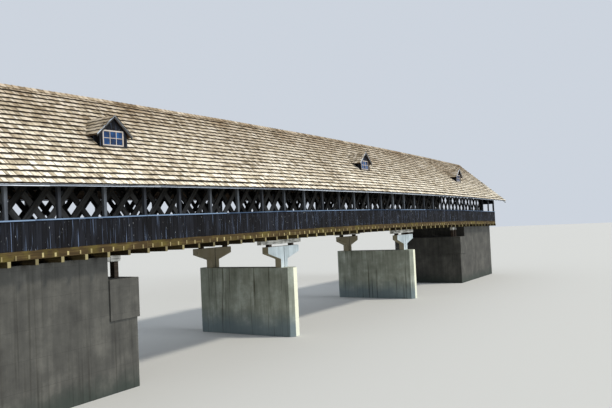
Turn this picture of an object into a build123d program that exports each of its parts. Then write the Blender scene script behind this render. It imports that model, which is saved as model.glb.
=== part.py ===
"""Covered bridge on two concrete piers, with a lattice truss each side of the road.

A scale model at 1:2, in millimetres. X runs along the bridge, Y across it and Z up.
The origin is on the water line, at the middle of the bridge in both directions.
"""
from build123d import *
import os
from math import atan2, cos, floor, radians, sin, tan

os.makedirs("parts", exist_ok=True)

# The long timbers: bays between posts, the splices where straight timbers meet, and the camber
BAY = 1219.2
HALF_BAYS = 15
SPLICE_BAYS = 5
CAMBER = 200.0
ROOF_OVERHANG_X = 732.0
SEAM = 0.3
CUT_PAST = 5.0
SHORTEST_LENGTH = 1.0

# Heights at midspan, above the water line
BEAM_BOTTOM = 3300.0
RAIL_TOP = 4217.0
FASCIA_BOTTOM = 4860.0
ROOF_EAVE_TOP = 4938.0
ROOF_RIDGE_TOP = 7450.0

# Half widths across the bridge
TRUSS_Y = 1475.0
SIDING_Y = 2368.0
FASCIA_Y = 2885.0
EAVE_OVERHANG = 30.0

# Floor
FLOOR_BEAM_DEPTH = 120.0
FLOOR_BEAM_WIDTH = 80.0
BEAM_END_REACH = 22.0
JOIST_DEPTH = 100.0
JOIST_WIDTH = 60.0
ROAD_JOISTS = 3
DECK_THICKNESS = 40.0
EDGE_STRINGER_DEPTH = 181.0
EDGE_STRINGER_WIDTH = 70.0

# Lattice trusses: planks of the web, and the chord planks that clamp them
WEB_SPACING = BAY / 2
WEB_ANGLE = 50.0
WEB_PLANK_WIDTH = 140.0
WEB_PLANK_THICKNESS = 38.0
CHORD_DEPTH = 140.0
CHORD_THICKNESS = 38.0
SECOND_CHORD_RISE = 430.0

# Outside walkway: posts, boarded rail and its cap
POST_SIZE = 80.0
SIDING_THICKNESS = 22.0
RAIL_CAP_THICKNESS = 28.0
RAIL_CAP_OVERHANG = 26.0
PLATE_DEPTH = 100.0

# Roof framing and skin
ROOF_THICKNESS = 48.0
RAFTER_DEPTH = 100.0
RAFTER_WIDTH = 60.0
TIE_DEPTH = 120.0
TIE_WIDTH = 90.0
TIE_END_REACH = 20.0
FASCIA_THICKNESS = 25.0
BARGE_DEPTH = 110.0
BARGE_THICKNESS = 25.0
RIDGE_BOARD_WIDTH = 110.0
RIDGE_BOARD_THICKNESS = 16.0

# Portals at both ends
PORTAL_THICKNESS = 28.0
ROAD_DOOR_HEIGHT = 2050.0
WALK_DOOR_HEIGHT = 1150.0
PORTAL_JAMB = 40.0

# Dormers: places along each slope, from the middle
DORMER_PLACES = (-12638.0, 914.0, 13064.0)
DORMER_WALL_Y = 1810.0
DORMER_HALF_WIDTH = 430.0
DORMER_EAVE_RISE = 300.0
DORMER_GABLE_RISE = 481.0
DORMER_ROOF_HALF = 544.0
DORMER_ROOF_THICKNESS = 28.0
DORMER_FRONT_OVERHANG = 55.0
DORMER_WALL_THICKNESS = 35.0
WINDOW_WIDTH = 640.0
WINDOW_HEIGHT = 380.0
WINDOW_SILL_RISE = 34.0
SASH_WIDTH = 32.0
SASH_THICKNESS = 24.0
GLASS_THICKNESS = 4.0
GLASS_LAP = 16.0

# Piers: a wall across the stream, and on it a flared head under each truss
PIER_X = 5216.0
PIER_HALF_THICKNESS = 249.0
PIER_SHOULDER_Y = 1908.0
PIER_NOSE = 140.0
PIER_TOP = 2312.0
HEAD_Y = 1515.0
HEAD_THICKNESS = 242.0
HEAD_HALF_LENGTH = 930.0
HEAD_TOP = 3035.0
HEAD_SIDE_BOTTOM = 2818.0
HEAD_BOTTOM = 2604.0
COLUMN_HALF_WIDTH = 208.0
HEAD_JOINT_WIDTH = 14.0
HEAD_JOINT_DEPTH = 18.0

# Bolsters between the heads and the floor beams, on bearing blocks
BOLSTER_LENGTH = 2420.0
BOLSTER_DEPTH = 165.0
BOLSTER_WIDTH = 160.0
BOLSTER_JOINT = 12.0
BLOCK_LENGTH = 130.0
BLOCK_OFFSET = 0.55

# Abutments: a breast wall with a cap, a seat behind it and walls back to the portal
ABUTMENT_FACE_X = 12192.0
ABUTMENT_HALF_WIDTH = 2020.0
ABUTMENT_WALL = 420.0
SEAT_TOP = 2640.0
CAP_DEPTH = 960.0
CAP_PROUD = 45.0
SEAT_LENGTH = 900.0

# Worked out from the sizes above
HALF_LENGTH = HALF_BAYS * BAY
ROOF_END = HALF_LENGTH + ROOF_OVERHANG_X
TIMBER_LENGTH = SPLICE_BAYS * BAY
EAVE_Y = FASCIA_Y + EAVE_OVERHANG
ROOF_SLOPE = (ROOF_RIDGE_TOP - ROOF_EAVE_TOP) / EAVE_Y
ROOF_PITCH = atan2(ROOF_RIDGE_TOP - ROOF_EAVE_TOP, EAVE_Y)
ROOF_DROP = ROOF_THICKNESS / cos(ROOF_PITCH)
RAFTER_DROP = RAFTER_DEPTH / cos(ROOF_PITCH)
BEAM_TOP = BEAM_BOTTOM + FLOOR_BEAM_DEPTH
JOIST_TOP = BEAM_TOP + JOIST_DEPTH
STRINGER_TOP = BEAM_TOP + EDGE_STRINGER_DEPTH
DECK_TOP = JOIST_TOP + DECK_THICKNESS
WEB_HALF = WEB_PLANK_THICKNESS
CHORD_HALF = WEB_HALF + CHORD_THICKNESS
TIE_REACH = TRUSS_Y + CHORD_HALF + TIE_END_REACH
TIE_TOP = ROOF_RIDGE_TOP - ROOF_DROP - RAFTER_DROP - ROOF_SLOPE * TIE_REACH
TRUSS_TOP = TIE_TOP - TIE_DEPTH
TRUSS_HEIGHT = TRUSS_TOP - BEAM_TOP
DORMER_EAVE = ROOF_RIDGE_TOP - ROOF_SLOPE * DORMER_WALL_Y + DORMER_EAVE_RISE
DORMER_APEX = DORMER_EAVE + DORMER_GABLE_RISE
POST_Y = SIDING_Y - SIDING_THICKNESS - POST_SIZE / 2
BEAM_END_Y = SIDING_Y + BEAM_END_REACH


def camber(x):
    """Height of a long timber at x against midspan: on a parabola at each splice, straight between."""
    step = floor(x / TIMBER_LENGTH)
    ends = [-CAMBER * (i * TIMBER_LENGTH / HALF_LENGTH) ** 2 for i in (step, step + 1)]
    share = x / TIMBER_LENGTH - step
    return ends[0] + (ends[1] - ends[0]) * share


def splices(x0, x1):
    """x0, each splice between, and x1."""
    inner = [i * TIMBER_LENGTH for i in range(-HALF_BAYS, HALF_BAYS + 1)]
    return [x0] + [x for x in inner if x0 + SHORTEST_LENGTH < x < x1 - SHORTEST_LENGTH] + [x1]


def section_at(x, points):
    """A face across the bridge at x, from (y, height at midspan) points."""
    plane = Plane(origin=(x, 0, camber(x)), x_dir=(0, 1, 0), z_dir=(1, 0, 0))
    return plane * make_face(Polyline(*points, close=True))


def straight(points, a, b):
    """Carry a cross-section from a to b, with no splice between them."""
    step = Vector(b - a, 0, camber(b) - camber(a))
    return extrude(section_at(a, points), amount=step.length, dir=step.normalized())


def along(points, x0, x1):
    """Carry a cross-section from x0 to x1 along the camber, as one solid."""
    xs = splices(x0, x1)
    lengths = [straight(points, a, b) for a, b in zip(xs, xs[1:])]
    if len(lengths) == 1:
        return lengths[0].solid()
    return lengths[0].fuse(*lengths[1:]).solid()


def in_lengths(points, x0, x1):
    """Straight lengths with the same cross-section from x0 to x1, butted at the splices."""
    xs = splices(x0, x1)
    return [straight(points, a, b - SEAM if b < x1 else b) for a, b in zip(xs, xs[1:])]


def box_section(y0, y1, z0, z1):
    """Corners of an upright rectangle across the bridge."""
    return [(y0, z0), (y1, z0), (y1, z1), (y0, z1)]


def bar(x0, x1, y0, y1, z0, z1):
    """A rectangular timber that follows the camber, as one solid."""
    return along(box_section(min(y0, y1), max(y0, y1), z0, z1), x0, x1)


def run(y0, y1, z0, z1):
    """Rectangular timbers from end to end of the trusses, butted at the splices."""
    return in_lengths(box_section(min(y0, y1), max(y0, y1), z0, z1), -HALF_LENGTH, HALF_LENGTH)


def block(x0, x1, y0, y1, z0, z1):
    """A level box between two corners."""
    middle = ((x0 + x1) / 2, (y0 + y1) / 2, (z0 + z1) / 2)
    return Pos(*middle) * Box(abs(x1 - x0), abs(y1 - y0), abs(z1 - z0))


def side_face(y, points):
    """A face along the bridge at y, from (x, z) points; it is extruded towards -Y."""
    plane = Plane(origin=(0, y, 0), x_dir=(1, 0, 0), z_dir=(0, -1, 0))
    return plane * make_face(Polyline(*points, close=True))


def mirror_y(solids):
    """The same pieces on the other side of the bridge."""
    return [mirror(solid, about=Plane.XZ) for solid in solids]


def roof_top(y):
    """Height of the roof's upper face at y."""
    return ROOF_RIDGE_TOP - ROOF_SLOPE * abs(y)


def save(name, solids):
    """Write one node's solids."""
    solids = [piece for solid in solids for piece in solid.solids()]
    shape = solids[0] if len(solids) == 1 else Compound(children=solids)
    shape.label = name
    export_step(shape, os.path.join("parts", name + ".step"))


def bay_lines(step):
    """Places along the bridge, evenly spaced, from end to end inside the trusses."""
    count = round(HALF_LENGTH / step)
    return [i * step for i in range(-count, count + 1)]


# Piers

def pier_wall(x):
    """Wall across the stream with a half-octagon nose at each end."""
    t, w, n = PIER_HALF_THICKNESS, PIER_SHOULDER_Y, PIER_NOSE
    plan = [(t, -w), (t, w), (t - n, w + n), (n - t, w + n),
            (-t, w), (-t, -w), (n - t, -w - n), (t - n, -w - n)]
    return Pos(x, 0, 0) * extrude(make_face(Polyline(*plan, close=True)), PIER_TOP)


def pier_head(x, side):
    """Short column that flares to a head along the bridge, with a joint down the middle of its faces."""
    h, c = HEAD_HALF_LENGTH, COLUMN_HALF_WIDTH
    outline = [(-c, PIER_TOP), (c, PIER_TOP), (c, HEAD_BOTTOM), (h, HEAD_SIDE_BOTTOM), (h, HEAD_TOP),
               (-h, HEAD_TOP), (-h, HEAD_SIDE_BOTTOM), (-c, HEAD_BOTTOM)]
    y = side * HEAD_Y + HEAD_THICKNESS / 2
    head = extrude(side_face(y, outline), HEAD_THICKNESS)
    half = HEAD_JOINT_WIDTH / 2
    for face in (y, y - HEAD_THICKNESS):
        head -= block(-half, half, face - HEAD_JOINT_DEPTH, face + HEAD_JOINT_DEPTH,
                      PIER_TOP - CUT_PAST, HEAD_TOP + CUT_PAST)
    return Pos(x, 0, 0) * head


def bolster(x, length):
    """Timber under a truss on each side, in two lengths: its top follows the camber, its foot is level."""
    foot = BEAM_BOTTOM + camber(x) - BOLSTER_DEPTH
    pieces = []
    for a, b in ((x - length / 2, x - BOLSTER_JOINT / 2), (x + BOLSTER_JOINT / 2, x + length / 2)):
        xs = splices(a, b)
        outline = [(a, foot), (b, foot)] + [(s, BEAM_BOTTOM + camber(s)) for s in reversed(xs)]
        pieces.append(extrude(side_face(-TRUSS_Y + BOLSTER_WIDTH / 2, outline), BOLSTER_WIDTH))
    return pieces + mirror_y(pieces)


def bearing_blocks(x, length, seat):
    """Blocks between a seat and the bolster above it, one under each of its lengths."""
    foot = BEAM_BOTTOM + camber(x) - BOLSTER_DEPTH
    pieces = []
    for way in (-1, 1):
        middle = x + way * BLOCK_OFFSET * length / 2
        pieces.append(block(middle - BLOCK_LENGTH / 2, middle + BLOCK_LENGTH / 2,
                            -TRUSS_Y - BOLSTER_WIDTH / 2, -TRUSS_Y + BOLSTER_WIDTH / 2, seat, foot))
    return pieces + mirror_y(pieces)


# Abutments

def abutment(side):
    """Breast wall with a proud cap and a bearing seat, side walls and an end wall behind."""
    face, back = ABUTMENT_FACE_X, HALF_LENGTH
    w, t = ABUTMENT_HALF_WIDTH, ABUTMENT_WALL
    seat_end = face + SEAT_LENGTH
    body = block(face + CAP_PROUD, back, -w + CAP_PROUD, w - CAP_PROUD, 0, SEAT_TOP)
    body += block(face, seat_end, -w, w, SEAT_TOP - CAP_DEPTH, SEAT_TOP)
    body += bar(seat_end, back, CAP_PROUD - w, w - CAP_PROUD, SEAT_TOP, BEAM_BOTTOM)
    body -= block(seat_end + t, back - t, -w + CAP_PROUD + t, w - CAP_PROUD - t, -CUT_PAST, BEAM_BOTTOM)
    return body if side > 0 else mirror(body, about=Plane.YZ)


# Lattice trusses

def web_plank(x, lean):
    """One plank of the web with its foot at x, leaning along the bridge, with both ends on the camber."""
    run = lean * TRUSS_HEIGHT / tan(radians(WEB_ANGLE))
    half = WEB_PLANK_WIDTH / 2 / sin(radians(WEB_ANGLE))
    ends = [(x - half, BEAM_TOP), (x + half, BEAM_TOP),
            (x + run + half, TRUSS_TOP), (x + run - half, TRUSS_TOP)]
    layer = 0 if lean > 0 else -WEB_PLANK_THICKNESS
    return extrude(side_face(-TRUSS_Y - layer, [(s, z + camber(s)) for s, z in ends]), WEB_PLANK_THICKNESS)


def lattice(x0, x1):
    """The planks that pass mid-height from x0 to x1, in two layers that lean opposite ways, fused."""
    run = TRUSS_HEIGHT / tan(radians(WEB_ANGLE))
    count = round(HALF_LENGTH / WEB_SPACING)
    feet = [(i + 0.5) * WEB_SPACING for i in range(-3 * count, 3 * count)]
    layers = []
    for lean in (1, -1):
        heads = [x for x in feet if x0 <= x + lean * run / 2 < x1]
        layers.append([web_plank(x, lean) for x in heads])
    web = layers[0][0].fuse(*layers[0][1:], *layers[1])
    end = block(-HALF_LENGTH, HALF_LENGTH, -TRUSS_Y - BAY, -TRUSS_Y + BAY, 0, ROOF_RIDGE_TOP)
    return web & end


def chord_planks(levels):
    """Chord planks on both faces of one truss, at the given heights."""
    pieces = []
    for z in levels:
        for way in (-1, 1):
            inner, outer = -TRUSS_Y + way * WEB_HALF, -TRUSS_Y + way * CHORD_HALF
            pieces += run(inner, outer, z, z + CHORD_DEPTH)
    return pieces


# Floor

def floor_beams():
    """Beams across the bridge at every half bay, out to the edge under the walkways."""
    half = FLOOR_BEAM_WIDTH / 2
    pieces = []
    for x in bay_lines(BAY / 2):
        a = max(x - half, -HALF_LENGTH)
        b = min(x + half, HALF_LENGTH)
        pieces.append(bar(a, b, -BEAM_END_Y, BEAM_END_Y, BEAM_BOTTOM, BEAM_TOP))
    return pieces


def joists():
    """Joists along the road, and one along each walkway."""
    road_half = TRUSS_Y - CHORD_HALF - JOIST_WIDTH
    ys = [-road_half + 2 * road_half * i / (ROAD_JOISTS - 1) for i in range(ROAD_JOISTS)]
    ys += [side * (TRUSS_Y + CHORD_HALF + JOIST_WIDTH) for side in (-1, 1)]
    half = JOIST_WIDTH / 2
    return [joist for y in ys for joist in run(y - half, y + half, BEAM_TOP, JOIST_TOP)]


# Roof

def under_skin(y):
    """Height of the roof's lower face at y."""
    return roof_top(y) - ROOF_DROP


def rafter(x):
    """A rafter of the -Y slope under the roof skin, from the ridge to the back of the fascia."""
    foot = FASCIA_Y - FASCIA_THICKNESS
    points = [(0, under_skin(0)), (-foot, under_skin(foot)),
              (RAFTER_DEPTH / 2 - foot, under_skin(foot) - RAFTER_DROP / 2), (0, under_skin(0) - RAFTER_DROP)]
    return along(points, x - RAFTER_WIDTH / 2, x + RAFTER_WIDTH / 2)


def roof_slope():
    """The lengths of one slope of the roof, with an opening under each dormer."""
    points = [(0, ROOF_RIDGE_TOP), (0, ROOF_RIDGE_TOP - ROOF_DROP),
              (-EAVE_Y, ROOF_EAVE_TOP - ROOF_DROP), (-EAVE_Y, ROOF_EAVE_TOP)]
    inside = DORMER_HALF_WIDTH - DORMER_WALL_THICKNESS
    back = (ROOF_RIDGE_TOP - DORMER_EAVE) / ROOF_SLOPE
    front = DORMER_WALL_Y - DORMER_WALL_THICKNESS
    openings = [block(x - inside, x + inside, -front, -back, 0, ROOF_RIDGE_TOP) for x in DORMER_PLACES]
    return [length.cut(*openings) for length in in_lengths(points, -ROOF_END, ROOF_END)]


def ridge_boards():
    """Boards over the ridge on the -Y slope, which meet those of the other slope along the top."""
    w, t = RIDGE_BOARD_WIDTH * cos(ROOF_PITCH), RIDGE_BOARD_THICKNESS / cos(ROOF_PITCH)
    top = SEAM / 2
    points = [(-top, roof_top(top)), (-top, roof_top(top) + t), (-w, roof_top(w) + t), (-w, roof_top(w))]
    return in_lengths(points, -ROOF_END, ROOF_END)


def barge_board(side):
    """The board under the -Y slope's edge at one end."""
    drop = BARGE_DEPTH / cos(ROOF_PITCH)
    points = [(-EAVE_Y, under_skin(EAVE_Y)), (0, under_skin(0)), (0, under_skin(0) - drop),
              (-EAVE_Y, under_skin(EAVE_Y) - drop)]
    x0, x1 = sorted((side * ROOF_END, side * (ROOF_END - BARGE_THICKNESS)))
    return along(points, x0, x1)


def portal(side):
    """Boarded end wall with an opening for the road and one for each walkway."""
    y = POST_Y - POST_SIZE / 2
    outer = [(-y, DECK_TOP), (y, DECK_TOP), (y, under_skin(y)), (0, under_skin(0)), (-y, under_skin(y))]
    x0, x1 = sorted((side * HALF_LENGTH, side * (HALF_LENGTH + PORTAL_THICKNESS)))
    wall = along(outer, x0, x1)
    road = TRUSS_Y - CHORD_HALF - PORTAL_JAMB
    walk = (TRUSS_Y + CHORD_HALF + PORTAL_JAMB, y - PORTAL_JAMB)
    holes = [(-road, road, ROAD_DOOR_HEIGHT)]
    holes += [(*walk, WALK_DOOR_HEIGHT), (-walk[1], -walk[0], WALK_DOOR_HEIGHT)]
    for y0, y1, height in holes:
        wall -= block(x0 - CUT_PAST, x1 + CUT_PAST, y0, y1, 0, DECK_TOP + height + camber(x0))
    return wall


# Dormers, on the -Y slope

def on_slope(x, points):
    """Points (offset, height) of a dormer at x, moved to their place and tilted with the camber."""
    lean = (camber(x + DORMER_HALF_WIDTH) - camber(x - DORMER_HALF_WIDTH)) / (2 * DORMER_HALF_WIDTH)
    return [(x + s, z + camber(x) + s * lean) for s, z in points]


def under_roof():
    """All that lies under the -Y slope's upper face."""
    points = [(0, 0), (0, ROOF_RIDGE_TOP), (-EAVE_Y, ROOF_EAVE_TOP), (-EAVE_Y, 0)]
    return along(points, -ROOF_END, ROOF_END)


def dormer_drop():
    """Upright depth of a dormer's roof."""
    pitch = atan2(DORMER_APEX - DORMER_EAVE, DORMER_ROOF_HALF)
    return DORMER_ROOF_THICKNESS / cos(pitch)


def dormer_roof(x, main):
    """A gabled roof that runs back into the main slope."""
    half, drop, fall = DORMER_ROOF_HALF, dormer_drop(), DORMER_APEX - DORMER_EAVE
    profile = [(-half, DORMER_EAVE - drop), (0, DORMER_APEX - drop), (half, DORMER_EAVE - drop),
               (half, DORMER_APEX - fall), (0, DORMER_APEX), (-half, DORMER_APEX - fall)]
    skin = extrude(side_face(0, on_slope(x, profile)), DORMER_WALL_Y + DORMER_FRONT_OVERHANG)
    return skin - main


def dormer_walls(x, main):
    """Front wall with its window opening, and a cheek each side, standing on the roof skin."""
    slope = (DORMER_APEX - DORMER_EAVE) / DORMER_ROOF_HALF
    half, t, peak = DORMER_HALF_WIDTH, DORMER_WALL_THICKNESS, DORMER_APEX - dormer_drop()
    foot = under_skin(DORMER_WALL_Y)
    outer = [(-half, foot), (half, foot), (half, peak - slope * half),
             (0, peak), (-half, peak - slope * half)]
    half -= t
    inner = [(-half, foot - CUT_PAST), (half, foot - CUT_PAST), (half, peak - slope * half),
             (0, peak), (-half, peak - slope * half)]
    body = extrude(side_face(0, on_slope(x, outer)), DORMER_WALL_Y)
    body -= extrude(side_face(0, on_slope(x, inner)), DORMER_WALL_Y - t)
    sill, w = window_sill(x), WINDOW_WIDTH / 2
    body -= block(x - w, x + w, -DORMER_WALL_Y - CUT_PAST, -DORMER_WALL_Y + t + CUT_PAST,
                  sill, sill + WINDOW_HEIGHT)
    return (body - main).solids().sort_by(SortBy.VOLUME)[-1]


def window_sill(x):
    """Height of a dormer window's sill."""
    return roof_top(DORMER_WALL_Y) + WINDOW_SILL_RISE + camber(x)


def dormer_sash(x):
    """Frame of one window, in its opening."""
    low, high = window_sill(x) + SEAM, window_sill(x) + WINDOW_HEIGHT - SEAM
    y = -DORMER_WALL_Y + DORMER_WALL_THICKNESS / 2
    w, t = WINDOW_WIDTH / 2 - SEAM, SASH_THICKNESS / 2
    sash = block(x - w, x + w, y - t, y + t, low, high)
    w -= SASH_WIDTH
    return sash - block(x - w, x + w, y - 2 * t, y + 2 * t, low + SASH_WIDTH, high - SASH_WIDTH)


def dormer_glass(x):
    """One sheet of glass behind the bars of a window."""
    inset = SEAM + SASH_WIDTH - GLASS_LAP
    low, high = window_sill(x) + inset, window_sill(x) + WINDOW_HEIGHT - inset
    y = -DORMER_WALL_Y + DORMER_WALL_THICKNESS / 2 + SASH_THICKNESS / 2
    w = WINDOW_WIDTH / 2 - inset
    return block(x - w, x + w, y, y + GLASS_THICKNESS, low, high)


def both_sides(solids):
    """The given -Y pieces and their mirror images."""
    return solids + mirror_y(solids)


def main():
    for name, side in (("west", -1), ("east", 1)):
        x = side * PIER_X
        save("pier_wall_" + name, [pier_wall(x)])
        save("pier_heads_" + name, [pier_head(x, -1), pier_head(x, 1)])
        save("abutment_" + name, [abutment(side)])
        save("portal_" + name, [portal(side)])
    seat_length = SEAT_LENGTH - 2 * BLOCK_LENGTH
    seat_x = ABUTMENT_FACE_X + SEAT_LENGTH / 2
    supports = [(side * PIER_X, BOLSTER_LENGTH, HEAD_TOP) for side in (-1, 1)]
    supports += [(side * seat_x, seat_length, SEAT_TOP) for side in (-1, 1)]
    timbers, blocks = [], []
    for x, length, seat in supports:
        timbers += bolster(x, length)
        blocks += bearing_blocks(x, length, seat)
    save("bolsters", timbers)
    save("bearing_blocks", blocks)

    third = round(HALF_BAYS / 3) * BAY
    far = 2 * HALF_LENGTH
    for name, x0, x1 in (("west", -far, -third), ("middle", -third, third), ("east", third, far)):
        web = lattice(x0, x1)
        save("lattice_near_" + name, [web])
        save("lattice_far_" + name, mirror_y([web]))
    low = chord_planks([BEAM_TOP, BEAM_TOP + SECOND_CHORD_RISE])
    high = chord_planks([TRUSS_TOP - CHORD_DEPTH, TRUSS_TOP - CHORD_DEPTH - SECOND_CHORD_RISE])
    save("lower_chords_near", low)
    save("lower_chords_far", mirror_y(low))
    save("upper_chords_near", high)
    save("upper_chords_far", mirror_y(high))

    end = HALF_LENGTH
    save("floor_beams", floor_beams())
    save("floor_joists", joists())
    road = TRUSS_Y - CHORD_HALF - SEAM
    save("road_deck", run(-road, road, JOIST_TOP, DECK_TOP))
    inside, outside = TRUSS_Y + CHORD_HALF + SEAM, SIDING_Y - EDGE_STRINGER_WIDTH - SEAM
    save("walkway_decks", both_sides(run(-outside, -inside, JOIST_TOP, DECK_TOP)))
    stringers = run(-SIDING_Y, -SIDING_Y + EDGE_STRINGER_WIDTH, BEAM_TOP, STRINGER_TOP)
    save("edge_stringers", both_sides(stringers))

    siding_top = RAIL_TOP - RAIL_CAP_THICKNESS
    siding = run(-SIDING_Y, -SIDING_Y + SIDING_THICKNESS, STRINGER_TOP, siding_top)
    save("rail_siding_near", siding)
    save("rail_siding_far", mirror_y(siding))
    caps = run(-SIDING_Y - RAIL_CAP_OVERHANG, -SIDING_Y + SIDING_THICKNESS, siding_top, RAIL_TOP)
    save("rail_caps", both_sides(caps))
    plate_y = POST_Y + POST_SIZE / 2
    plate_top = under_skin(plate_y) - RAFTER_DROP
    half = POST_SIZE / 2
    posts = []
    for x in bay_lines(BAY):
        a, b = max(x - half, -end), min(x + half, end)
        posts.append(bar(a, b, -POST_Y - half, -POST_Y + half, STRINGER_TOP, plate_top - PLATE_DEPTH))
    save("posts_near", posts)
    save("posts_far", mirror_y(posts))
    save("eave_plates", both_sides(run(-POST_Y - half, -POST_Y + half, plate_top - PLATE_DEPTH, plate_top)))

    ties, rafters = [], []
    for x in bay_lines(BAY):
        middle = min(max(x, TIE_WIDTH / 2 - end), end - TIE_WIDTH / 2)
        a, b = middle - TIE_WIDTH / 2, middle + TIE_WIDTH / 2
        ties.append(bar(a, b, -TIE_REACH, TIE_REACH, TRUSS_TOP, TIE_TOP))
        rafters.append(rafter(middle))
    save("tie_beams", ties)
    save("rafters_near", rafters)
    save("rafters_far", mirror_y(rafters))

    slope = roof_slope()
    save("roof_near", slope)
    save("roof_far", mirror_y(slope))
    save("ridge_cap", both_sides(ridge_boards()))
    inner = FASCIA_Y - FASCIA_THICKNESS
    board_end = ROOF_END - BARGE_THICKNESS
    fascia = [(-FASCIA_Y, FASCIA_BOTTOM), (-inner, FASCIA_BOTTOM), (-inner, under_skin(inner)),
              (-FASCIA_Y, under_skin(FASCIA_Y))]
    save("eave_fascias", both_sides(in_lengths(fascia, -board_end, board_end)))
    barges = [barge_board(-1), barge_board(1)]
    save("barge_boards_near", barges)
    save("barge_boards_far", mirror_y(barges))

    whole = under_roof()
    save("dormer_roofs", both_sides([dormer_roof(x, whole) for x in DORMER_PLACES]))
    save("dormer_walls", both_sides([dormer_walls(x, whole) for x in DORMER_PLACES]))
    save("dormer_sashes", both_sides([dormer_sash(x) for x in DORMER_PLACES]))
    save("dormer_glass", both_sides([dormer_glass(x) for x in DORMER_PLACES]))


main()
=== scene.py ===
"""Looks of a half-size covered bridge: shakes, boards, lattice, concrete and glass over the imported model.

Lengths are metres of the half-size model. X runs along the bridge, Y across it and Z up. The near side
faces -Y. Everything is laid out on a flat bridge, and then every point rises with the camber at its place.
"""

import logging
import math
import random
from dataclasses import dataclass
from enum import Enum
from typing import Callable, Iterator, Sequence

import bmesh
import bpy
from mathutils import Matrix, Vector


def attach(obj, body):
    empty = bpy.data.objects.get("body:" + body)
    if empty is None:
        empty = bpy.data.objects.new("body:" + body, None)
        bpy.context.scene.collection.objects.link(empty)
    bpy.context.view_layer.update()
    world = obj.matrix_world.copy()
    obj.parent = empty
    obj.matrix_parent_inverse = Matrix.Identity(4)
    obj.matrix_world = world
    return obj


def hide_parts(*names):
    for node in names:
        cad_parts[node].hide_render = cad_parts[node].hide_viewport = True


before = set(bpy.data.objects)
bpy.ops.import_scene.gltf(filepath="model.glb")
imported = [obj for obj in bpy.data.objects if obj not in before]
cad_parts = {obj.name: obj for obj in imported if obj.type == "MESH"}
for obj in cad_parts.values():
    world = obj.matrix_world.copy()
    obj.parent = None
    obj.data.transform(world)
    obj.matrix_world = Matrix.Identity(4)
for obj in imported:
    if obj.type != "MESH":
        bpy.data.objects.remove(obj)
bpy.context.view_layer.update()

log = logging.getLogger("covered_bridge")

Span = tuple[float, float]
Triple = tuple[float, float, float]
Place = Callable[[Vector], Vector]
Tree = bpy.types.NodeTree
Socket = bpy.types.NodeSocket

# Shortfall that doesn't make one part more when a stretch is divided
ROUNDING = 1e-6


class Axis(Enum):
    """Direction that the grain of a piece runs in."""

    X = 0
    Y = 1
    Z = 2


class Side(Enum):
    """Side of the bridge that a piece is made for."""

    NEAR = "near"
    FAR = "far"
    BOTH = "both"


@dataclass(frozen=True)
class BridgeSizes:
    """Sizes that several sub-assemblies share."""

    bay: float = 1.2192
    half_bays: int = 15
    splice_bays: int = 5
    rise: float = 0.200
    roof_end: float = 19.020
    eave_y: float = 2.915
    fascia_y: float = 2.885
    fascia: float = 0.025
    eave_top: float = 4.938
    ridge_top: float = 7.450
    skin: float = 0.048
    rafter_depth: float = 0.100
    beam_bottom: float = 3.300
    beam_top: float = 3.420
    joist_top: float = 3.520
    deck_top: float = 3.560
    stringer_top: float = 3.601
    rail_top: float = 4.217
    truss_y: float = 1.475
    truss_top: float = 5.7809
    web: float = 0.038
    chord: float = 0.038
    siding_y: float = 2.368
    siding: float = 0.022
    post: float = 0.080
    seam: float = 0.0003
    tight_joint: float = 0.002
    plank_joint: float = 0.003

    @property
    def half_length(self) -> float:
        """Distance from the middle to the end of the trusses."""
        return self.half_bays * self.bay

    @property
    def timber(self) -> float:
        """Length of a straight timber between two splices."""
        return self.splice_bays * self.bay

    @property
    def slope(self) -> float:
        """Rise of the roof over its run."""
        return (self.ridge_top - self.eave_top) / self.eave_y

    @property
    def pitch(self) -> float:
        """Angle of the roof, in radians."""
        return math.atan(self.slope)

    @property
    def post_y(self) -> float:
        """Distance from the middle to the centre of the walkway posts."""
        return self.siding_y - self.siding - self.post / 2

    @property
    def post_faces(self) -> Span:
        """Both faces of the near walkway's posts."""
        return -self.post_y - self.post / 2, -self.post_y + self.post / 2

    @property
    def chord_face(self) -> float:
        """Half the thickness of a truss over its chords."""
        return self.web + self.chord

    @property
    def truss_faces(self) -> Span:
        """Distances from the middle to both faces of a truss, over its chords."""
        return self.truss_y - self.chord_face, self.truss_y + self.chord_face

    def camber(self, x: float) -> float:
        """Height at x against midspan, on a parabola at each splice and straight between.

        Args:
            x: place along the bridge.

        Returns:
            The height, which is negative away from midspan.
        """
        step = math.floor(x / self.timber)
        low, high = (-self.rise * (i * self.timber / self.half_length) ** 2 for i in (step, step + 1))
        return low + (high - low) * (x / self.timber - step)

    def roof_top(self, y: float) -> float:
        """Height of the roof's upper plane at y."""
        return self.ridge_top - self.slope * abs(y)

    def under_skin(self, y: float) -> float:
        """Height of the roof skin's lower face at y."""
        return self.roof_top(y) - self.skin / math.cos(self.pitch)

    def lengths(self, x0: float, x1: float, longest: float) -> Iterator[Span]:
        """Cuts a long timber at every splice and where a length ends.

        Args:
            x0: one end.
            x1: the other end.
            longest: the longest piece.

        Yields:
            The ends of each piece.
        """
        first = math.ceil(x0 / self.timber)
        inner = [i * self.timber for i in range(first, math.floor(x1 / self.timber) + 1)]
        stops = [x0] + [x for x in inner if x0 + self.post < x < x1 - self.post] + [x1]
        for a, b in zip(stops, stops[1:]):
            yield from spans(a, b, longest)

    def across(self, step: float, width: float) -> Iterator[Span]:
        """Ends of timbers that cross the bridge at even steps, cut flush with the trusses' ends.

        Args:
            step: distance between their middles.
            width: width of each.

        Yields:
            The ends of each along the bridge.
        """
        end, count = self.half_length, round(self.half_length / step)
        for i in range(-count, count + 1):
            yield max(i * step - width / 2, -end), min(i * step + width / 2, end)


SIZES = BridgeSizes()


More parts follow.
